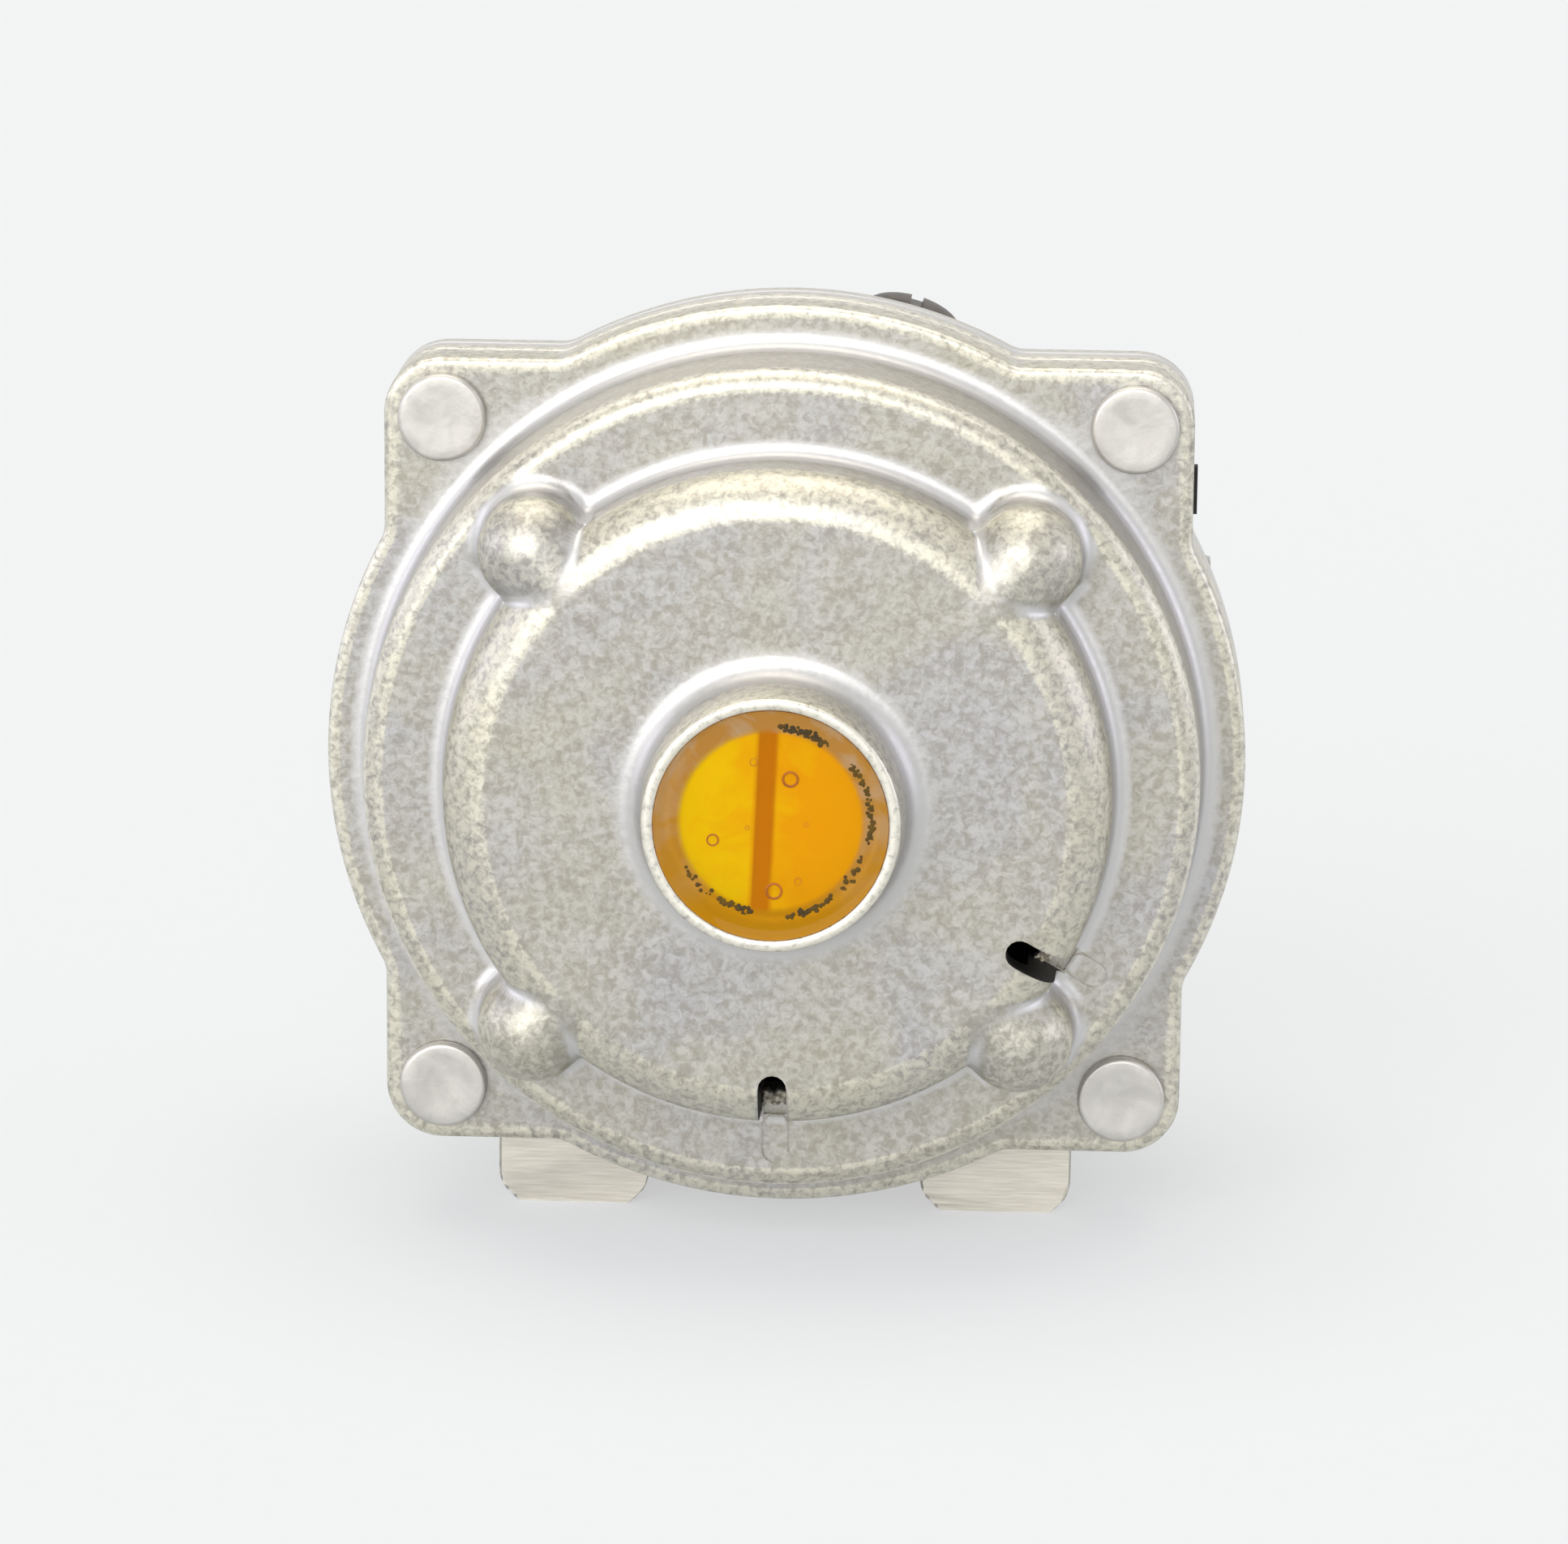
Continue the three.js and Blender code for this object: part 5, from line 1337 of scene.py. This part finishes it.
class REGULATOR_OT_body(bpy.types.Operator):
    """Casts the body: flange, bowl, ports, valve block, legs and feet, then machines it"""
    bl_idname = "regulator.body"
    bl_label = "Body casting"

    def execute(self, context):
        size = context.scene.regulator_castings
        step = 0.6
        piece = sampled_solid("body_casting", body_field, (-32, 3.5, -37), (32, 34, 33), step)
        piece.data.materials.append(finish_of("cast"))
        flange = new_piece("tool", *ring_grid(flange_grid(size)), finish_of("cast"))
        shaped(piece, [flange], "UNION")
        smooth(piece, 50)
        bend_attributes(piece)
        axis, pivot = (0, PORT_AXIS, 0), (*PIVOT, 0)
        cuts = [
            block((-40, 40), (0, 40), (-40, -AXIS_HEIGHT)),
            block((-40, -PORT_FACE), (BODY_REAR, 40), (-20, 20)),
            block((PORT_FACE, 40), (BODY_REAR, 40), (-20, 20)),
            block((-20, 20), (BODY_BACK, 40), (-20, 20)),
            turned("tool", eased([(0, 2), (CLAMP_RADIUS, 2), (CLAMP_RADIUS, 13.4), (0, 13.4)], 0.8), 144),
            block((-3.2, 3.2), (12, 28.75), (-4.5, 4.5)),
            block((-11.9, 0), (PORT_AXIS, 28.1), (-1.65, 1.65)),
            rod(4.0, 0, 20, "x", axis),
            rod(3.15, -19.5, 0, "x", axis),
            rod(1.1, -5.55, 11, "z", pivot, 24),
            rod(2.1, 6.1, 13, "z", pivot, 32),
        ]
        mouth = [(0, SEAT_FACE), (PORT_BORE, SEAT_FACE), (PORT_BORE, 21.9), (THREAD_ROOT, 22.3),
                 (THREAD_ROOT, 29.6), (6.75, PORT_FACE), (6.75, 32), (0, 32)]
        hole = [(0, -37), (3.2, -37), (3.2, -AXIS_HEIGHT - 0.01), (2.1, -AXIS_HEIGHT + 1.0),
                (2.1, -27.6), (0, -26.5)]
        for side in (-1, 1):
            cuts.append(turned("tool", [(radius, side * reach) for radius, reach in mouth], 96, "x", axis))
            cuts.append(turned("tool", hole, 48, "z", (side * LEG_OFFSET, PORT_AXIS, 0)))
        shaped(piece, cuts)
        drill = [(0, 22), (1.6, 22), (1.6, 29.2), (2.0, 29.6), (3.7, 29.6), (3.7, 33), (0, 33)]
        shaped(piece, [at_test_port("tool", *turned_points(drill, 48, "z"))] + rivet_holes(2, 10))
        notch = block((27, 30), (4.0, BODY_FRONT), (17.5, 21.1))
        stops = [rod(1.6, 6.65, 14, "y", (13.3 * math.cos(a), 0, 13.3 * math.sin(a)), 32, 0.2)
                 for a in np.radians([90, 210, 330])]
        ground = [block((side * LEG_OFFSET - 7, side * LEG_OFFSET + 7), (2.5, FOOT_FRONT), (-40, -29.0))
                  for side in (-1, 1)]
        shaped(piece, [notch] + ground)
        shaped(piece, stops, "UNION")
        smooth(piece, 35)
        # The feet's ground fronts: paler partly from grinding and partly as painted light lifting the rim's
        # shade
        paint(piece, "ground", ground_front)
        paint(piece, "machined", machined_body)
        placed(piece, "housing", "cast_aluminium", "body_housing")
        return {"FINISHED"}


class REGULATOR_OT_rivets(bpy.types.Operator):
    """Sets the four rivets through both flanges"""
    bl_idname = "regulator.rivets"
    bl_label = "Flange rivets"

    def execute(self, context):
        shank, head_radius, head_round, tail_radius, tail_round = 2.0, 3.1, 0.32, 2.9, 0.35
        head = [(0, -0.84), (1.2, -0.86), (2.2, -0.9)]
        head += [(head_radius - head_round + head_round * math.sin(a), -0.58 - head_round * math.cos(a))
                 for a in np.linspace(0, math.pi / 2, 6)]
        head += [(head_radius, -0.2), (3.02, -0.1), (2.86, -0.06), (2.86, 0.0), (shank, 0.0),
                 (shank, BODY_REAR), (2.85, BODY_REAR), (tail_radius, BODY_REAR + 0.15),
                 (tail_radius, BODY_REAR + 0.85)]
        tail_from, tail_at = tail_radius - tail_round, BODY_REAR + 0.85
        head += [(tail_from + tail_round * math.cos(a), tail_at + tail_round * math.sin(a))
                 for a in np.linspace(0.3, math.pi / 2, 4)]
        head += [(1.5, BODY_REAR + 1.16), (0, BODY_REAR + 1.1)]
        points, faces = turned_points(head, 64)
        piece = grown("flange_rivets", corner_pattern_tree(), {
            "Spacing": 2 * RIVET_OFFSET * MM, "Material": finish_of("rivet")}, points * MM, faces)
        piece.data.transform(Matrix.Translation(Vector(ORIGIN)))
        if signed_volume(piece.data) < 0:
            piece.data.flip_normals()
        smooth(piece, 35)
        placed(piece, "housing", "rivet_aluminium", *(f"flange_rivet_{name}" for name in RIVET_PLACES))
        return {"FINISHED"}


def screw_slot(depths, half_length, extra=0.0):
    """The adjusting screw's leaning slot as a tool."""
    half = SLOT_HALF + extra
    tool = block((SLOT_OFFSET - half, SLOT_OFFSET + half), depths, (-half_length, half_length))
    middle = Matrix.Translation(Vector(ORIGIN))
    tool.data.transform(middle @ Matrix.Rotation(SLOT_LEAN, 4, "Y") @ middle.inverted())
    return tool


class REGULATOR_OT_adjuster(bpy.types.Operator):
    """Pots the slotted adjusting screw in amber resin, with bubbles and flecks"""
    bl_idname = "regulator.adjuster"
    bl_label = "Adjuster and resin"

    def execute(self, context):
        top, foot, tip, slot_floor = SCREW_TOP, -11.5, 5.6, SCREW_TOP + 1.2
        profile = [(0, top), (SCREW_RADIUS, top), (SCREW_RADIUS, foot), (tip, foot), (tip, foot - 1.5),
                   (0, foot - 1.5)]
        screw = turned("adjusting_screw_head", eased(profile, 0.25), 96, material=finish_of("screw"))
        shaped(screw, [screw_slot((top - 2, slot_floor), 8)])
        smooth(screw, 32)
        placed(screw, "housing", "brass", "adjusting_screw")

        bond = 0.02
        climb = [(0, 0), (3, 0.01), (6, 0.05), (7.3, 0.1), (7.75, 0.18), (WELL_RADIUS + bond, 0.28)]
        resin = turned("resin_potting", [(radius, RESIN_FACE - rise) for radius, rise in climb] + [
            (WELL_RADIUS + bond, bond - WELL_FLOOR), (SCREW_RADIUS - bond, bond - WELL_FLOOR),
            (SCREW_RADIUS - bond, top + bond), (0, top + bond)], 96, material=finish_of("resin"))
        shaped(resin, [screw_slot((top - 0.5, slot_floor + bond), 6.2, bond)], "UNION")
        smooth(resin, 32)
        placed(resin, "housing", "resin", "resin_seal")

        bubbles = [
            (1.3, 3.25, 0.5), (-3.95, -1.1, 0.38), (0.25, -4.6, 0.52), (-1.2, 4.4, 0.26), (1.9, -3.9, 0.24),
            (2.05, -4.65, 0.22), (-3.3, 2.5, 0.15), (-5.2, 1.8, 0.16), (-5.3, 0.8, 0.14), (-4.7, 0.75, 0.13),
            (-1.6, -0.2, 0.15), (-2.3, -3.4, 0.12), (-2.45, -4.3, 0.15), (2.4, 0.1, 0.15), (-4.9, -0.3, 0.14)]
        places = to_row([(x, RESIN_FACE + 0.01, z) for x, z, _ in bubbles])
        rims = grown("resin_bubbles", bubble_rims_tree(), {"Wall": 0.2, "Material": finish_of("bubble")},
                     places, sizes=[size * MM for *_, size in bubbles])
        smooth(rims, 60)
        placed(rims, "housing", "resin")

        chance = np.random.default_rng(11)
        arcs = [(84, 55, 70, 6.6), (38, -12, 80, 6.85), (-21, -45, 16, 6.7), (-52, -80, 34, 6.75),
                (-102, -122, 26, 6.5), (-128, -150, 12, 6.65)]
        spots = []
        for first, last, number, far in arcs:
            turns = np.radians(np.linspace(first, last, number) + chance.normal(0, 1.0, number))
            reach = far + chance.normal(0, 0.12, number)
            spots += [(r * math.cos(a), RESIN_FACE - 0.07, r * math.sin(a) + DISC_RISE)
                      for r, a in zip(reach, turns)]
        flecks = grown("sealant_flecks", scatter_tree(), {
            "Size": 0.2 * MM, "Spread": 0.65, "Flatness": 0.3, "Detail": 2, "Seed": 5,
            "Material": finish_of("fleck")}, to_row(spots))
        smooth(flecks, 60)
        placed(flecks, "housing", "resin")
        return {"FINISHED"}


class REGULATOR_OT_spring(bpy.types.Operator):
    """Winds the main spring between the adjusting screw and the diaphragm plate"""
    bl_idname = "regulator.spring"
    bl_label = "Main spring"

    def execute(self, context):
        start, end = -12.46, 2.81
        piece = grown("main_spring_wire", wire_helix_tree(), {
            "Turns": 8.0, "Radius": 4.95 * MM, "Length": (end - start) * MM, "Closing": 0.5,
            "Wire Radius": 0.45 * MM, "Steps": 420, "Sides": 12, "Material": finish_of("spring")})
        quarter = Matrix.Rotation(-TURN / 4, 4, "X")
        piece.data.transform(Matrix.Translation(Vector(to_row([0, start, 0]))) @ quarter)
        smooth(piece, 50)
        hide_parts("main_spring")
        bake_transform(piece)
        return {"FINISHED"}


class REGULATOR_OT_diaphragm(bpy.types.Operator):
    """Moulds the diaphragm: a clamped edge with its tab, and a rolled middle in twelve sectors"""
    bl_idname = "regulator.diaphragm"
    bl_label = "Diaphragm"

    def execute(self, context):
        angles = np.radians(np.arange(0, 360, 1.5))
        front, back, inner = 3.42, 4.38, 25.6
        rim = outline_rows(angles, [(1.35, front), (1.3, 3.5), (1.3, 4.3), (1.35, back)])
        grid = grid_round(
            angles, circle_rows(angles, [(inner, front)]), rim, circle_rows(angles, [(inner, back)]))
        edge = new_piece("diaphragm_clamped_edge", *ring_grid(grid), finish_of("rubber"))
        tab = block((25.5, 28.7), (front, back), (17.6, 21.0))
        shaped(edge, [tab], "UNION")
        shaped(edge, rivet_holes(2, 6))
        smooth(edge, 35)
        placed(edge, "housing", "rubber", "diaphragm")

        roll_centre, clamp_middle, outer, inner = 23.1, 3.9, 2.9, 1.9
        gas_side = 5.4
        path = [(radius, PLATE_BACK) for radius in (STEM_HOLE, 6, 10, 14, 18, 19.75)]
        path += [(roll_centre - outer * math.cos(a), clamp_middle - outer * math.sin(a))
                 for a in np.linspace(0.05, math.pi - 0.18, 16)]
        path += [(25.58, front), (25.58, back)]
        path += [(roll_centre + inner * math.cos(a), clamp_middle + 0.45 - inner * math.sin(a))
                 for a in np.linspace(0.12, math.pi - 0.05, 14)]
        path += [(20.6, 5.3)] + [(radius, gas_side) for radius in (19.9, 18, 14, 10, 6, STEM_HOLE)]
        sectors = 12
        sweep = TURN / sectors
        for number in range(sectors):
            middle = number * sweep
            spread = np.linspace(middle - sweep / 2, middle + sweep / 2, 9)
            points = [(r * math.cos(a), d, r * math.sin(a)) for a in spread for r, d in path]
            count = len(path)
            faces = [(c * count + k, (c + 1) * count + k, (c + 1) * count + (k + 1) % count,
                      c * count + (k + 1) % count) for c in range(len(spread) - 1) for k in range(count)]
            faces += [tuple(range(count)), tuple(range(len(points) - 1, len(points) - count - 1, -1))]
            piece = new_piece(f"diaphragm_roll_{number + 1:02d}", points, faces, finish_of("rubber"), 50)
            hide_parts("diaphragm")
            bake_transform(piece)
        return {"FINISHED"}


class REGULATOR_OT_test_plug(bpy.types.Operator):
    """Screws the dark plug with its washer into the test port"""
    bl_idname = "regulator.test_plug"
    bl_label = "Test port plug"

    def execute(self, context):
        base, head_radius, rise = 30.3, 3.5, 0.55
        head = [(0, base - 3.9), (1.2, base - 3.9), (1.4, base - 3.6), (1.4, base), (3.35, base),
                (head_radius, base + 0.15), (head_radius, base + rise)]
        head += [(head_radius * math.cos(a), base + rise + 1.55 * math.sin(a))
                 for a in np.linspace(0.1, math.pi / 2, 9)]
        head[-1] = (0, base + 2.1)
        plug = at_test_port("test_port_plug_head", *turned_points(head, 64, "z"), finish_of("dark"))
        slot, sides = block_points((-0.45, 0.45), (-5, 5), (base + 1.4, base + 4))
        shaped(plug, [at_test_port("tool", np.array(slot, float), sides)])
        smooth(plug, 32)
        placed(plug, "housing", "dark_steel", "test_port_plug")
        ring = eased([(1.5, 29.62), (head_radius, 29.62), (head_radius, 30.28), (1.5, 30.28)], 0.15, 3)
        seal = at_test_port("test_plug_washer", *turned_points(ring, 64, "z"), finish_of("rubber"))
        placed(seal, "housing", "rubber", "plug_seal")
        return {"FINISHED"}


def joined(name, finish, tools):
    """One closed piece made of overlapping tools."""
    piece = tools[0]
    piece.name = piece.data.name = name
    piece.data.materials.append(finish_of(finish))
    return shaped(piece, tools[1:], "UNION")


def stands_in(piece, slot, node, sharp_degrees=32):
    """Rides a piece on the body of the one CAD node it stands for."""
    smooth(piece, sharp_degrees)
    return placed(piece, frame["nodes"][node]["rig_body"], slot, node)


def thread(name, finish, radius, wire, pitch, start, end, turn, at=(0, 0, 0)):
    """A thread's ridge wound round the z axis, then turned onto its own."""
    length = end - start
    piece = grown(name, wire_helix_tree(), {
        "Turns": length / pitch, "Radius": radius * MM, "Length": length * MM, "Closing": 0.0,
        "Wire Radius": wire * MM, "Steps": int(40 * length / pitch), "Sides": 8,
        "Material": finish_of(finish)})
    place = Matrix.Translation(Vector(to_row(at))) @ turn @ Matrix.Translation((0, 0, start * MM))
    piece.data.transform(place)
    if signed_volume(piece.data) < 0:
        piece.data.flip_normals()
    smooth(piece, 50)
    return piece


class REGULATOR_OT_threads(bpy.types.Operator):
    """Cuts the pipe threads in both ports"""
    bl_idname = "regulator.threads"
    bl_label = "Port threads"

    def execute(self, context):
        for name, degrees in (("port_thread_right", 90), ("port_thread_left", -90)):
            turn = Matrix.Rotation(math.radians(degrees), 4, "Y")
            ridge = thread(name, "machined", THREAD_ROOT, THREAD_DEPTH, THREAD_PITCH, 22.7, 29.3, turn,
                           (0, PORT_AXIS, 0))
            placed(ridge, "housing", "cast_aluminium")
        return {"FINISHED"}


class REGULATOR_OT_clamp(bpy.types.Operator):
    """Clamps the diaphragm: pressed plate, washer, stem with its threaded end, chamfered nut"""
    bl_idname = "regulator.clamp"
    bl_label = "Plate and stem"

    def execute(self, context):
        plate = turned("spring_plate", eased([
            (STEM_HOLE, PLATE_BACK), (STEM_HOLE, PLATE_FACE), (5.6, PLATE_FACE), (5.6, 2.4), (6.4, 2.4),
            (6.4, PLATE_FACE), (17.6, PLATE_FACE), (17.6, 1.8), (18.6, 1.8), (18.6, PLATE_BACK)],
            0.35), 96, material=finish_of("steel"))
        stands_in(plate, "steel", "diaphragm_plate")
        washer = turned("backing_washer", eased([
            (STEM_HOLE, 5.4), (8, 5.4), (8, 6.4), (STEM_HOLE, 6.4)], 0.2), 72, material=finish_of("steel"))
        stands_in(washer, "steel", "diaphragm_washer")
        post = joined("stem_post", "brass", [
            block((-1.6, 1.6), (6.6, 28.25), (-2.9, 2.9)),
            rod(3.4, 6.4, 7.6, ease=0.2),
            rod(1.55, 0.2, 7.0, ease=0.3)])
        shaped(post, [block((-3, 3), (24.55, 26.85), (-1.5, 1.5))])
        stands_in(post, "brass", "stem")
        quarter = Matrix.Rotation(-TURN / 4, 4, "X")
        ridge = thread("stem_thread", "brass", 1.6, 0.28, 0.5, 0.5, 6.2, quarter)
        placed(ridge, frame["nodes"]["stem"]["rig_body"], "brass")
        nut = joined("clamp_nut", "steel", [rod(4.215, 0.8, 3.4, sides=6)])
        crown = turned("tool", [(0, 0.7), (3.5, 0.7), (4.3, 1.15), (4.3, 3.5), (0, 3.5)], 72)
        shaped(nut, [crown], "INTERSECT")
        bore = [(0, 0.4), (2.5, 0.4), (2.5, 0.8), (STEM_HOLE, 1.25), (STEM_HOLE, 4), (0, 4)]
        shaped(nut, [turned("tool", bore, 48)])
        stands_in(nut, "steel", "stem_nut")
        return {"FINISHED"}


class REGULATOR_OT_valve(bpy.types.Operator):
    """Fits the valve: lever, pin and its plug, plunger with its rubber pad, orifice, perforated filter"""
    bl_idname = "regulator.valve"
    bl_label = "Lever and valve"

    def execute(self, context):
        axis = (0, PORT_AXIS, 0)
        pivot_x, pivot_y = PIVOT
        pivot = (pivot_x, pivot_y, 0)
        half, arm, arm_half = 1.2, 0.7, 1.15
        crank = joined("lever_crank", "steel", [
            rod(1.9, -half, half, "z", pivot, ease=0.2),
            block((pivot_x, 0), (pivot_y - arm, pivot_y + arm), (-arm_half, arm_half)),
            rod(1.0, -half, half, "z", (0, pivot_y, 0), 36, 0.15),
            block((pivot_x - arm, pivot_x + arm), (PORT_AXIS, pivot_y), (-arm_half, arm_half)),
            rod(1.45, -half, half, "z", (pivot_x, PORT_AXIS, 0), ease=0.15)])
        shaped(crank, [rod(1.1, -3, 3, "z", pivot, 36)])
        stands_in(crank, "steel", "lever")
        pin = rod(1.0, -5.25, 5.25, "z", pivot, 36, 0.15)
        stands_in(joined("fulcrum_pin", "steel", [pin]), "steel", "lever_pin")
        plug = joined("pin_bore_plug", "brass", [rod(2.0, 6.393, 8.893, "z", pivot, ease=0.2)])
        shaped(plug, [block((pivot_x - 0.45, pivot_x + 0.45), (pivot_y - 4, pivot_y + 4), (8.193, 11))])
        stands_in(plug, "brass", "pin_plug")

        plunger = joined("plunger_slide", "brass", [rod(3.0, -13.2, -5.6, "x", axis, 72, 0.25)])
        shaped(plunger, [
            rod(2.3, -15, -12.0, "x", axis),
            block((pivot_x - 1.6, pivot_x + 1.6), (PORT_AXIS - 1.65, PORT_AXIS + 5), (-1.5, 1.5)),
            block((-15, -4), (PORT_AXIS - 5, PORT_AXIS + 5), (2.5, 5)),
            block((-15, -4), (PORT_AXIS - 5, PORT_AXIS + 5), (-5, -2.5))])
        stands_in(plunger, "brass", "valve_plunger")
        pad = rod(2.22, -13.5, -12.0, "x", axis, 60, 0.12)
        stands_in(joined("plunger_pad", "pad", [pad]), "rubber", "valve_pad")
        nozzle = turned("orifice_nozzle", eased([
            (0.95, -20.565), (4.6, -20.565), (4.6, -SEAT_FACE), (3.0, -SEAT_FACE), (3.0, -15.565),
            (1.9, -15.565), (1.425, -14.565), (0.95, -14.565)], 0.12, 3), 72, "x", axis, finish_of("brass"))
        stands_in(nozzle, "brass", "inlet_orifice")

        strainer = joined("perforated_filter", "steel", [rod(5.4, -21.565, -20.965, "x", axis, 96, 0.15)])
        holes, apart = [], 1.8
        for ring, number in enumerate((1, 6, 12)):
            for angle in (TURN * hole / number for hole in range(number)):
                up, out = apart * ring * math.cos(angle), apart * ring * math.sin(angle)
                holes.append((-21.265, PORT_AXIS + out, up))
        drills = grown("tool", drills_tree(), {
            "Radius": 0.55 * MM, "Length": 2 * MM, "Sides": 24,
            "Material": finish_of("steel")}, to_row(holes))
        shaped(strainer, [drills])
        stands_in(strainer, "steel", "inlet_filter")
        return {"FINISHED"}


class REGULATOR_OT_studio(bpy.types.Operator):
    """Sets up the pale floor, soft light and camera"""
    bl_idname = "regulator.studio"
    bl_label = "Studio"

    def execute(self, context):
        studio = context.scene.regulator_studio
        colours = context.scene.regulator_finish
        backdrop(studio, colours)
        lamps(studio, colours)
        camera(studio)
        context.scene.view_settings.view_transform = "Standard"
        return {"FINISHED"}


def seen_share(tree):
    """One where the camera sees a surface, straight, mirrored or through the resin, and zero elsewhere."""
    rays = add(tree, "ShaderNodeLightPath").outputs
    seen = add(tree, "ShaderNodeMath", {
        0: rays["Is Camera Ray"], 1: rays["Is Glossy Ray"]}, operation="MAXIMUM")
    seen = add(tree, "ShaderNodeMath", {
        0: seen.outputs[0], 1: rays["Is Transmission Ray"]}, operation="MAXIMUM")
    return seen.outputs[0]


def backdrop(studio, colours):
    """A floor that shows one pale tone to the camera except where the object shades it."""
    material = bpy.data.materials.new("studio_paper")
    material.use_nodes = True
    tree = material.node_tree
    tree.nodes.clear()
    seen = seen_share(tree)
    grain = add(tree, "ShaderNodeTexNoise", {
        "Vector": add(tree, "ShaderNodeTexCoord").outputs["Object"], "Scale": per_metre(2), "Detail": 2})
    tone = add(tree, "ShaderNodeMix", {
        0: grain.outputs[0], 6: colours.paper, 7: colours.paper_fibre}, data_type="RGBA")
    paper = add(tree, "ShaderNodeBsdfDiffuse", {"Color": tone.outputs[2]})
    glow = add(tree, "ShaderNodeEmission", {"Color": colours.backdrop})
    level = add(tree, "ShaderNodeMath", {0: seen, 1: studio.floor_glow}, operation="MULTIPLY")
    tree.links.new(level.outputs[0], glow.inputs["Strength"])
    both = add(tree, "ShaderNodeAddShader", {0: paper.outputs[0], 1: glow.outputs[0]})
    add(tree, "ShaderNodeOutputMaterial", {"Surface": both.outputs[0]})
    half = 3.0
    corners = [(-half, -half, 0), (half, -half, 0), (half, half, 0), (-half, half, 0)]
    mesh = bpy.data.meshes.new("studio_floor")
    mesh.from_pydata(corners, [], [(0, 1, 2, 3)])
    mesh.materials.append(material)
    floor = bpy.data.objects.new("studio_floor", mesh)
    bpy.context.scene.collection.objects.link(floor)

    world = bpy.data.worlds.new("studio_surround")
    world.use_nodes = True
    tree = world.node_tree
    tree.nodes.clear()
    seen = seen_share(tree)
    shown = add(tree, "ShaderNodeBackground", {"Color": colours.backdrop, "Strength": 1.0})
    lit = add(tree, "ShaderNodeBackground", {
        "Color": (1.0, 1.0, 1.0, 1.0), "Strength": studio.sky})
    mixed = add(tree, "ShaderNodeMixShader", {0: seen, 1: lit.outputs[0], 2: shown.outputs[0]})
    add(tree, "ShaderNodeOutputWorld", {"Surface": mixed.outputs[0]})
    bpy.context.scene.world = world


def lamps(studio, colours):
    """Wide soft lamps far off, so the floor is lit evenly: overhead, in front and at each side."""
    plain = (1.0, 1.0, 1.0)
    for name, toward, spread, strength, colour in (
        ("lamp_above", (-0.05, 0.12, 1.0), 54, studio.key_power, colours.lamp_warm[:3]),
        ("lamp_front", (-0.3, -1.0, 0.36), 56, studio.front_power, plain),
        ("lamp_left", (-1.0, -0.12, 0.14), 44, studio.side_power, colours.lamp_cool[:3]),
        ("lamp_right", (1.0, -0.12, 0.14), 44, studio.side_power, colours.lamp_cool[:3]),
    ):
        light = bpy.data.lights.new(name, "SUN")
        light.angle, light.energy, light.color = math.radians(spread), strength, colour
        lamp = bpy.data.objects.new(name, light)
        lamp.location = Vector(toward)
        lamp.rotation_euler = Vector(toward).to_track_quat("Z", "Y").to_euler()
        bpy.context.scene.collection.objects.link(lamp)


def camera(studio):
    """The camera at the photograph's angle, aimed at the middle of the cover."""
    el, az, roll = studio.elevation, studio.azimuth, studio.roll
    back = Vector((math.sin(az) * math.cos(el), -math.cos(az) * math.cos(el), math.sin(el)))
    level = Vector((math.cos(az), math.sin(az), 0))
    upward = back.cross(level)
    right = math.cos(roll) * level + math.sin(roll) * upward
    up = back.cross(right)
    target = Vector(to_row(AIM))
    data = bpy.data.cameras.new("camera")
    data.sensor_fit, data.sensor_width, data.lens = "HORIZONTAL", 36, studio.lens
    view = bpy.data.objects.new("camera", data)
    turn = Matrix((right, up, back)).transposed()
    view.matrix_world = Matrix.Translation(target + back * studio.distance) @ turn.to_4x4()
    bpy.context.scene.collection.objects.link(view)
    bpy.context.scene.camera = view


class REGULATOR_PT_panel(bpy.types.Panel):
    """Lists the regulator's pieces and settings"""
    bl_label = "Gas regulator"
    bl_idname = "REGULATOR_PT_panel"
    bl_space_type = "VIEW_3D"
    bl_region_type = "UI"
    bl_category = "Regulator"

    def draw(self, context):
        for operator in OPERATORS:
            self.layout.operator(operator.bl_idname)
        for group in (getattr(context.scene, name) for name in GROUPS):
            box = self.layout.box()
            for name in group.bl_rna.properties.keys():
                if name not in ("rna_type", "name"):
                    box.prop(group, name)


OPERATORS = (
    REGULATOR_OT_studio, REGULATOR_OT_cover, REGULATOR_OT_body, REGULATOR_OT_rivets, REGULATOR_OT_adjuster,
    REGULATOR_OT_spring, REGULATOR_OT_diaphragm, REGULATOR_OT_test_plug, REGULATOR_OT_threads,
    REGULATOR_OT_clamp, REGULATOR_OT_valve,
)
GROUPS = {
    "regulator_finish": RegulatorFinish,
    "regulator_castings": CastingSize,
    "regulator_studio": StudioSettings,
}


def register():
    for kind in (*GROUPS.values(), *OPERATORS, REGULATOR_PT_panel):
        bpy.utils.register_class(kind)
    for name, kind in GROUPS.items():
        setattr(bpy.types.Scene, name, bpy.props.PointerProperty(type=kind))


def unregister():
    for name in GROUPS:
        delattr(bpy.types.Scene, name)
    for kind in reversed((*GROUPS.values(), *OPERATORS, REGULATOR_PT_panel)):
        bpy.utils.unregister_class(kind)


def main():
    """Builds every piece in order."""
    register()
    for operator in OPERATORS:
        group, name = operator.bl_idname.split(".")
        getattr(getattr(bpy.ops, group), name)()


if __name__ == "__main__":
    main()
